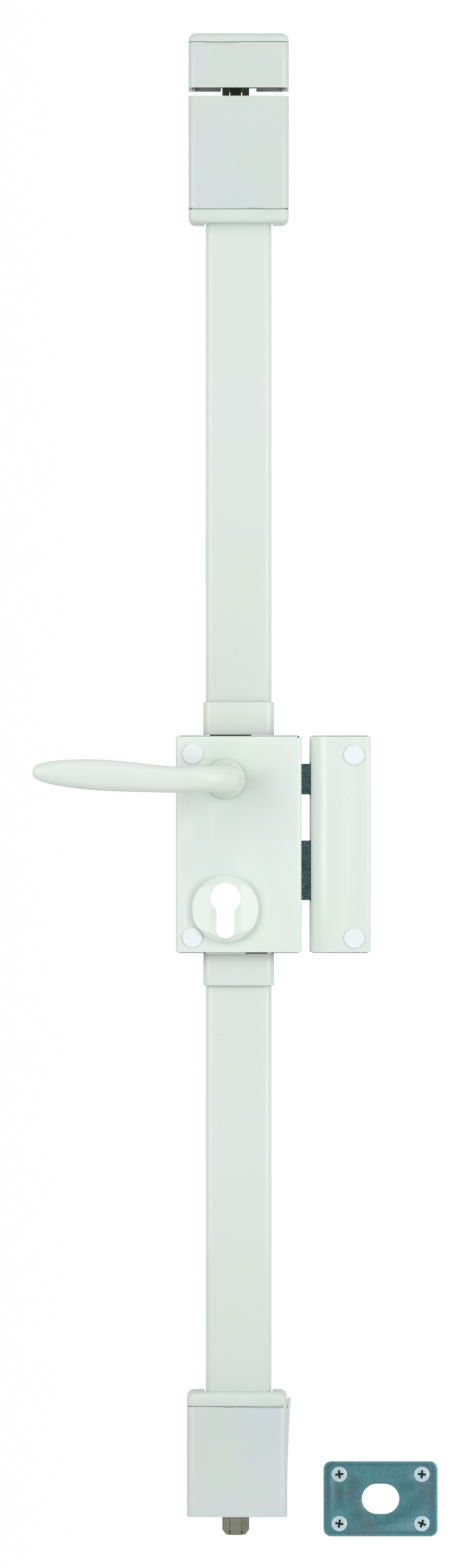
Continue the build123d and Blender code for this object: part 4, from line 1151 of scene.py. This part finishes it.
@dataclass
class FloorPlate:
    """The floor plate: rounded steel plate, rod hole and four cross-recess screws."""

    shop: Workshop
    corner: float = 4.5
    rim: float = 0.8
    slot: tuple[float, float] = (22.2, 18.1)
    screw_dx: float = 48.9
    screw_dz: float = 29.2
    screw_turns: tuple[float, ...] = (8, -6, 20, 5)
    head_r: float = 4.6
    head: float = 2.0
    head_room: float = 0.12
    dome: float = 0.35
    neck: float = 0.42
    shank: float = 12.9
    cross: tuple[float, float] = (2.4, 0.65)
    cross_deep: float = 1.1

    def build(self) -> None:
        """Make the plate and then its screws."""
        low, high = corners("floor_plate")
        x, z = (low.x + high.x) / 2, (low.z + high.z) / 2
        plate = block("floor_strike_plate", tuple(low), tuple(high))
        with editing(plate):
            choose(plate, Pick.EDGES, lambda p, n: abs(p[0].y - p[1].y) > 1)
            bevel(self.corner, 8)
            choose(plate, Pick.EDGES, lambda p, n: max(p[0].y, p[1].y) < low.y + NEAR)
            bevel(self.rim, 3)
        half = (self.slot[0] - self.slot[1]) / 2
        radius = self.slot[1] / 2
        cutters = [round_bar("cut_end", (x + end, 2, z), 8.0, radius) for end in (-half, half)]
        cutters.append(block("cut_middle", (x - half, -6, z - radius), (x + half, 2, z + radius)))
        dx, dz = self.screw_dx / 2, self.screw_dz / 2
        places = [(x + i * dx, z + j * dz) for i in (-1, 1) for j in (-1, 1)]
        sink_r = self.head_r + self.head_room
        for px, pz in places:
            start = (px, low.y + self.head + 0.2, pz)
            cutters.append(round_bar("cut_sink", start, 4.0, sink_r, 48))
        cut_away(plate, *cutters)
        soften(plate, 0.15)
        self.shop.finish(plate, Finish.PLATE_ZINC, "plate_zinc", "floor_plate")
        rows = zip(places, self.screw_turns)
        piece = join(*[self.screw(px, low.y, pz, turn) for (px, pz), turn in rows])
        piece.name = "floor_strike_screws"
        shade(piece, 40.0)
        self.shop.finish(piece, Finish.FLOOR_SCREW, "screw_zinc", "floor_plate_screws")

    def screw(self, x: float, face: float, z: float, turn: float) -> Object:
        """One screw: a slightly domed head on a shank, its cross recess turned by some degrees."""
        flat = self.head - self.dome + 0.1
        head = round_bar("screw", (x, face + self.head, z), flat, self.head_r, 48)
        with editing(head):
            choose(head, Pick.FACES, lambda p, n: n.y < -FLAT)
            for step, rise in ((0.5, 0.15), (1.6, 0.1)):
                inset(step)
                shift(0, -rise, 0)
            choose(head, Pick.FACES, lambda p, n: n.y > FLAT and len(p) > 8)
            extrude(0, 1.0, 0)
            resize((self.neck, 1, self.neck), (x, face, z))
            extrude(0, self.shank, 0)
        long, short = self.cross
        cutters = []
        for quarter in (0, 1):
            bar = block("cut_cross", (-long, face - 1, -short), (long, face + self.cross_deep, short))
            bar.rotation_euler = (0, math.radians(turn) + quarter * math.pi / 2, 0)
            bar.location = (x * MM, 0, z * MM)
            make_active(bar)
            bpy.ops.object.transform_apply(location=True, rotation=True, scale=True)
            cutters.append(bar)
        cut_away(head, *cutters)
        return head


@dataclass
class Studio:
    """The camera, the soft lights, the white surround and the pale floor."""

    distance: float = 4.6
    centre_x: float = -2.15
    centre_z: float = 35.5
    frame_height: float = 923.3
    face_depth: float = 32.0
    floor_z: float = -470.0
    floor_reach: tuple[float, float, float] = (110.0, -200.0, 190.0)
    side_reach: float = 0.3
    side_share: float = 0.06
    around: tuple[tuple[float, float], ...] = (
        (-0.97, 0.03),
        (-0.955, 0.38),
        (-0.4, 0.46),
        (0.05, 0.8),
        (0.45, 0.75),
        (0.9, 0.3),
        (0.985, 1.0),
    )

    def build(self) -> None:
        """Set the camera, the lights and the floor."""
        self.camera()
        self.surround()
        self.lights()
        self.floor()

    def camera(self) -> None:
        """A level camera far in front, framed as the photograph is."""
        data = bpy.data.cameras.new("studio_camera")
        data.sensor_width = 36.0
        reach = self.distance - self.face_depth * MM
        data.lens = data.sensor_width * reach / (self.frame_height * MM)
        data.clip_end = 50.0
        camera = in_scene("studio_camera", data)
        camera.location = (self.centre_x * MM, -self.distance, self.centre_z * MM)
        camera.rotation_euler = (math.pi / 2, 0, 0)
        bpy.context.scene.camera = camera

    def surround(self) -> None:
        """A surround that is dark round the camera, dim at the sides and white behind the lock.

        It is a little brighter on the right than on the left, as the photograph is.
        """
        scene = bpy.context.scene
        scene.view_settings.view_transform = "Standard"
        world = bpy.data.worlds.new("white_surround")
        scene.world = world
        world.use_nodes = True
        tree = world.node_tree
        tree.nodes.clear()
        place = add_node(tree, "TexCoord")
        split = add_node(tree, "SeparateXYZ", {0: place.outputs["Generated"]})
        share = add_node(tree, "MapRange", {"Value": split.outputs["Y"], "From Min": -1.0})
        ramp = add_node(tree, "ValToRGB", {"Fac": share.outputs["Result"]})
        ramp_between(ramp, [((y + 1) / 2, (light, light, light, 1.0)) for y, light in self.around])
        bias = {
            "From Min": -self.side_reach,
            "From Max": self.side_reach,
            "To Min": 1 - self.side_share,
            "To Max": 1 + self.side_share,
        }
        across = add_node(tree, "MapRange", {"Value": split.outputs["X"], **bias})
        inputs = {"Color": ramp.outputs["Color"], "Strength": across.outputs["Result"]}
        back = add_node(tree, "Background", inputs)
        add_node(tree, "OutputWorld", {"Surface": back.outputs[0]})

    def lights(self) -> None:
        """Tall soft boxes at both sides, a weaker one above the camera and a bounce card below it."""
        for name, spot, size, power in (
            ("left_softbox", (-1.5, -1.5, 0.3), (1.2, 1.8), 21.0),
            ("right_softbox", (1.5, -1.45, 0.2), (1.2, 1.8), 21.0),
            ("top_softbox", (0.0, -1.6, 1.9), (1.6, 0.7), 6.0),
            ("bounce_card", (0.0, -1.5, -1.9), (1.6, 0.7), 5.0),
        ):
            data = bpy.data.lights.new(name, "AREA")
            data.shape = "RECTANGLE"
            data.size, data.size_y = size
            data.energy = power
            light = in_scene(name, data)
            light.location = spot
            light.rotation_euler = (-Vector(spot)).to_track_quat("-Z", "Y").to_euler()

    def floor(self) -> None:
        """A pale floor below the lock, out of the photograph's frame."""
        back, front, side = self.floor_reach
        floor = block("studio_floor", (-side, front, self.floor_z - 10), (side, back, self.floor_z))
        soften(floor, 2.0)
        dress(floor, MouldedPlastic("pale_floor", "EDEEEC", 0.8, 300.0).build())


NODE_FINISHES: dict[Finish, str] = {
    Finish.BOX: "top_strike_base",
    Finish.SHEET_ZINC: "case_base top_box_base bottom_box_base keeper_base fore_end_plate"
    " latch_spring_seat upper_rack lower_rack upper_rod lower_rod dead_bolt_tail case_fixing_sleeves"
    " keeper_fixing_sleeves pinion_stud follower transfer_pinion",
    Finish.BOLT_ZINC: "latch_bolt dead_bolt",
    Finish.SCREW_ZINC: "case_cover_screws top_box_screws bottom_box_screws top_strike_screws"
    " keeper_screws dead_bolt_rivets upper_rod_rivets lower_rod_rivets top_rod_pin bottom_rod_pin"
    " pinion_clip lever_grub_screw",
    Finish.BRIGHT_STEEL: "latch_spring spindle",
    Finish.NYLON: "spindle_bush lever_bush upper_rod_guides lower_rod_guides",
}


def main() -> None:
    logging.basicConfig(level=logging.INFO, format="%(name)s: %(message)s")
    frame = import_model()
    Studio().build()
    shop = Workshop(frame)
    for finish, nodes in NODE_FINISHES.items():
        for node in nodes.split():
            shop.coat_node(node, finish)
    LockCase(shop).build()
    CapPlugs(shop, "case_plugs", "case_cap_plugs").build()
    Keeper(shop).build()
    CapPlugs(shop, "keeper_plugs", "keeper_cap_plugs").build()
    for side in ("upper", "lower"):
        Strip(shop, side).build()
    top_wear = ((-29.0, -26.5, 0.5), (5.5, 11.0, 0.45), (11.0, 15.0, 0.2), (25.5, 29.0, 0.4))
    BoxCover(shop, "top_box_shell", "top_box_cover", top_wear).build()
    strike_wear = ((-18.5, -4.0, 0.6), (-20.5, -18.5, 0.25), (-4.0, 1.0, 0.3))
    BoxCover(shop, "top_strike_shell", "top_strike_cover", strike_wear, seam_top=True).build()
    bottom_wear = ((-29.6, -24.0, 0.25), (-8.5, -2.5, 0.35), (9.0, 27.0, 0.3))
    BentBoxCover(shop, "bottom_box_shell", "bottom_box_cover", bottom_wear).build()
    notch = (-20.2, 20.2)
    EndCap(shop, "top_box_end", "top_box_cap", True, skirt=7.8, round_r=3.9, strip=notch).build()
    EndCap(shop, "bottom_box_end", "bottom_box_cap", False, skirt=7.8, round_r=3.9, strip=notch).build()
    EndCap(shop, "top_strike_end", "top_strike_cap", False, skirt=5.1, round_r=4.2).build()
    RodEnd(shop, "top", tip_up=True).build()
    RodEnd(shop, "bottom", tip_up=False).build()
    Lever(shop).build()
    FloorPlate(shop).build()
    LOG.info("%d pieces made", len(shop.made))


if __name__ == "__main__":
    main()
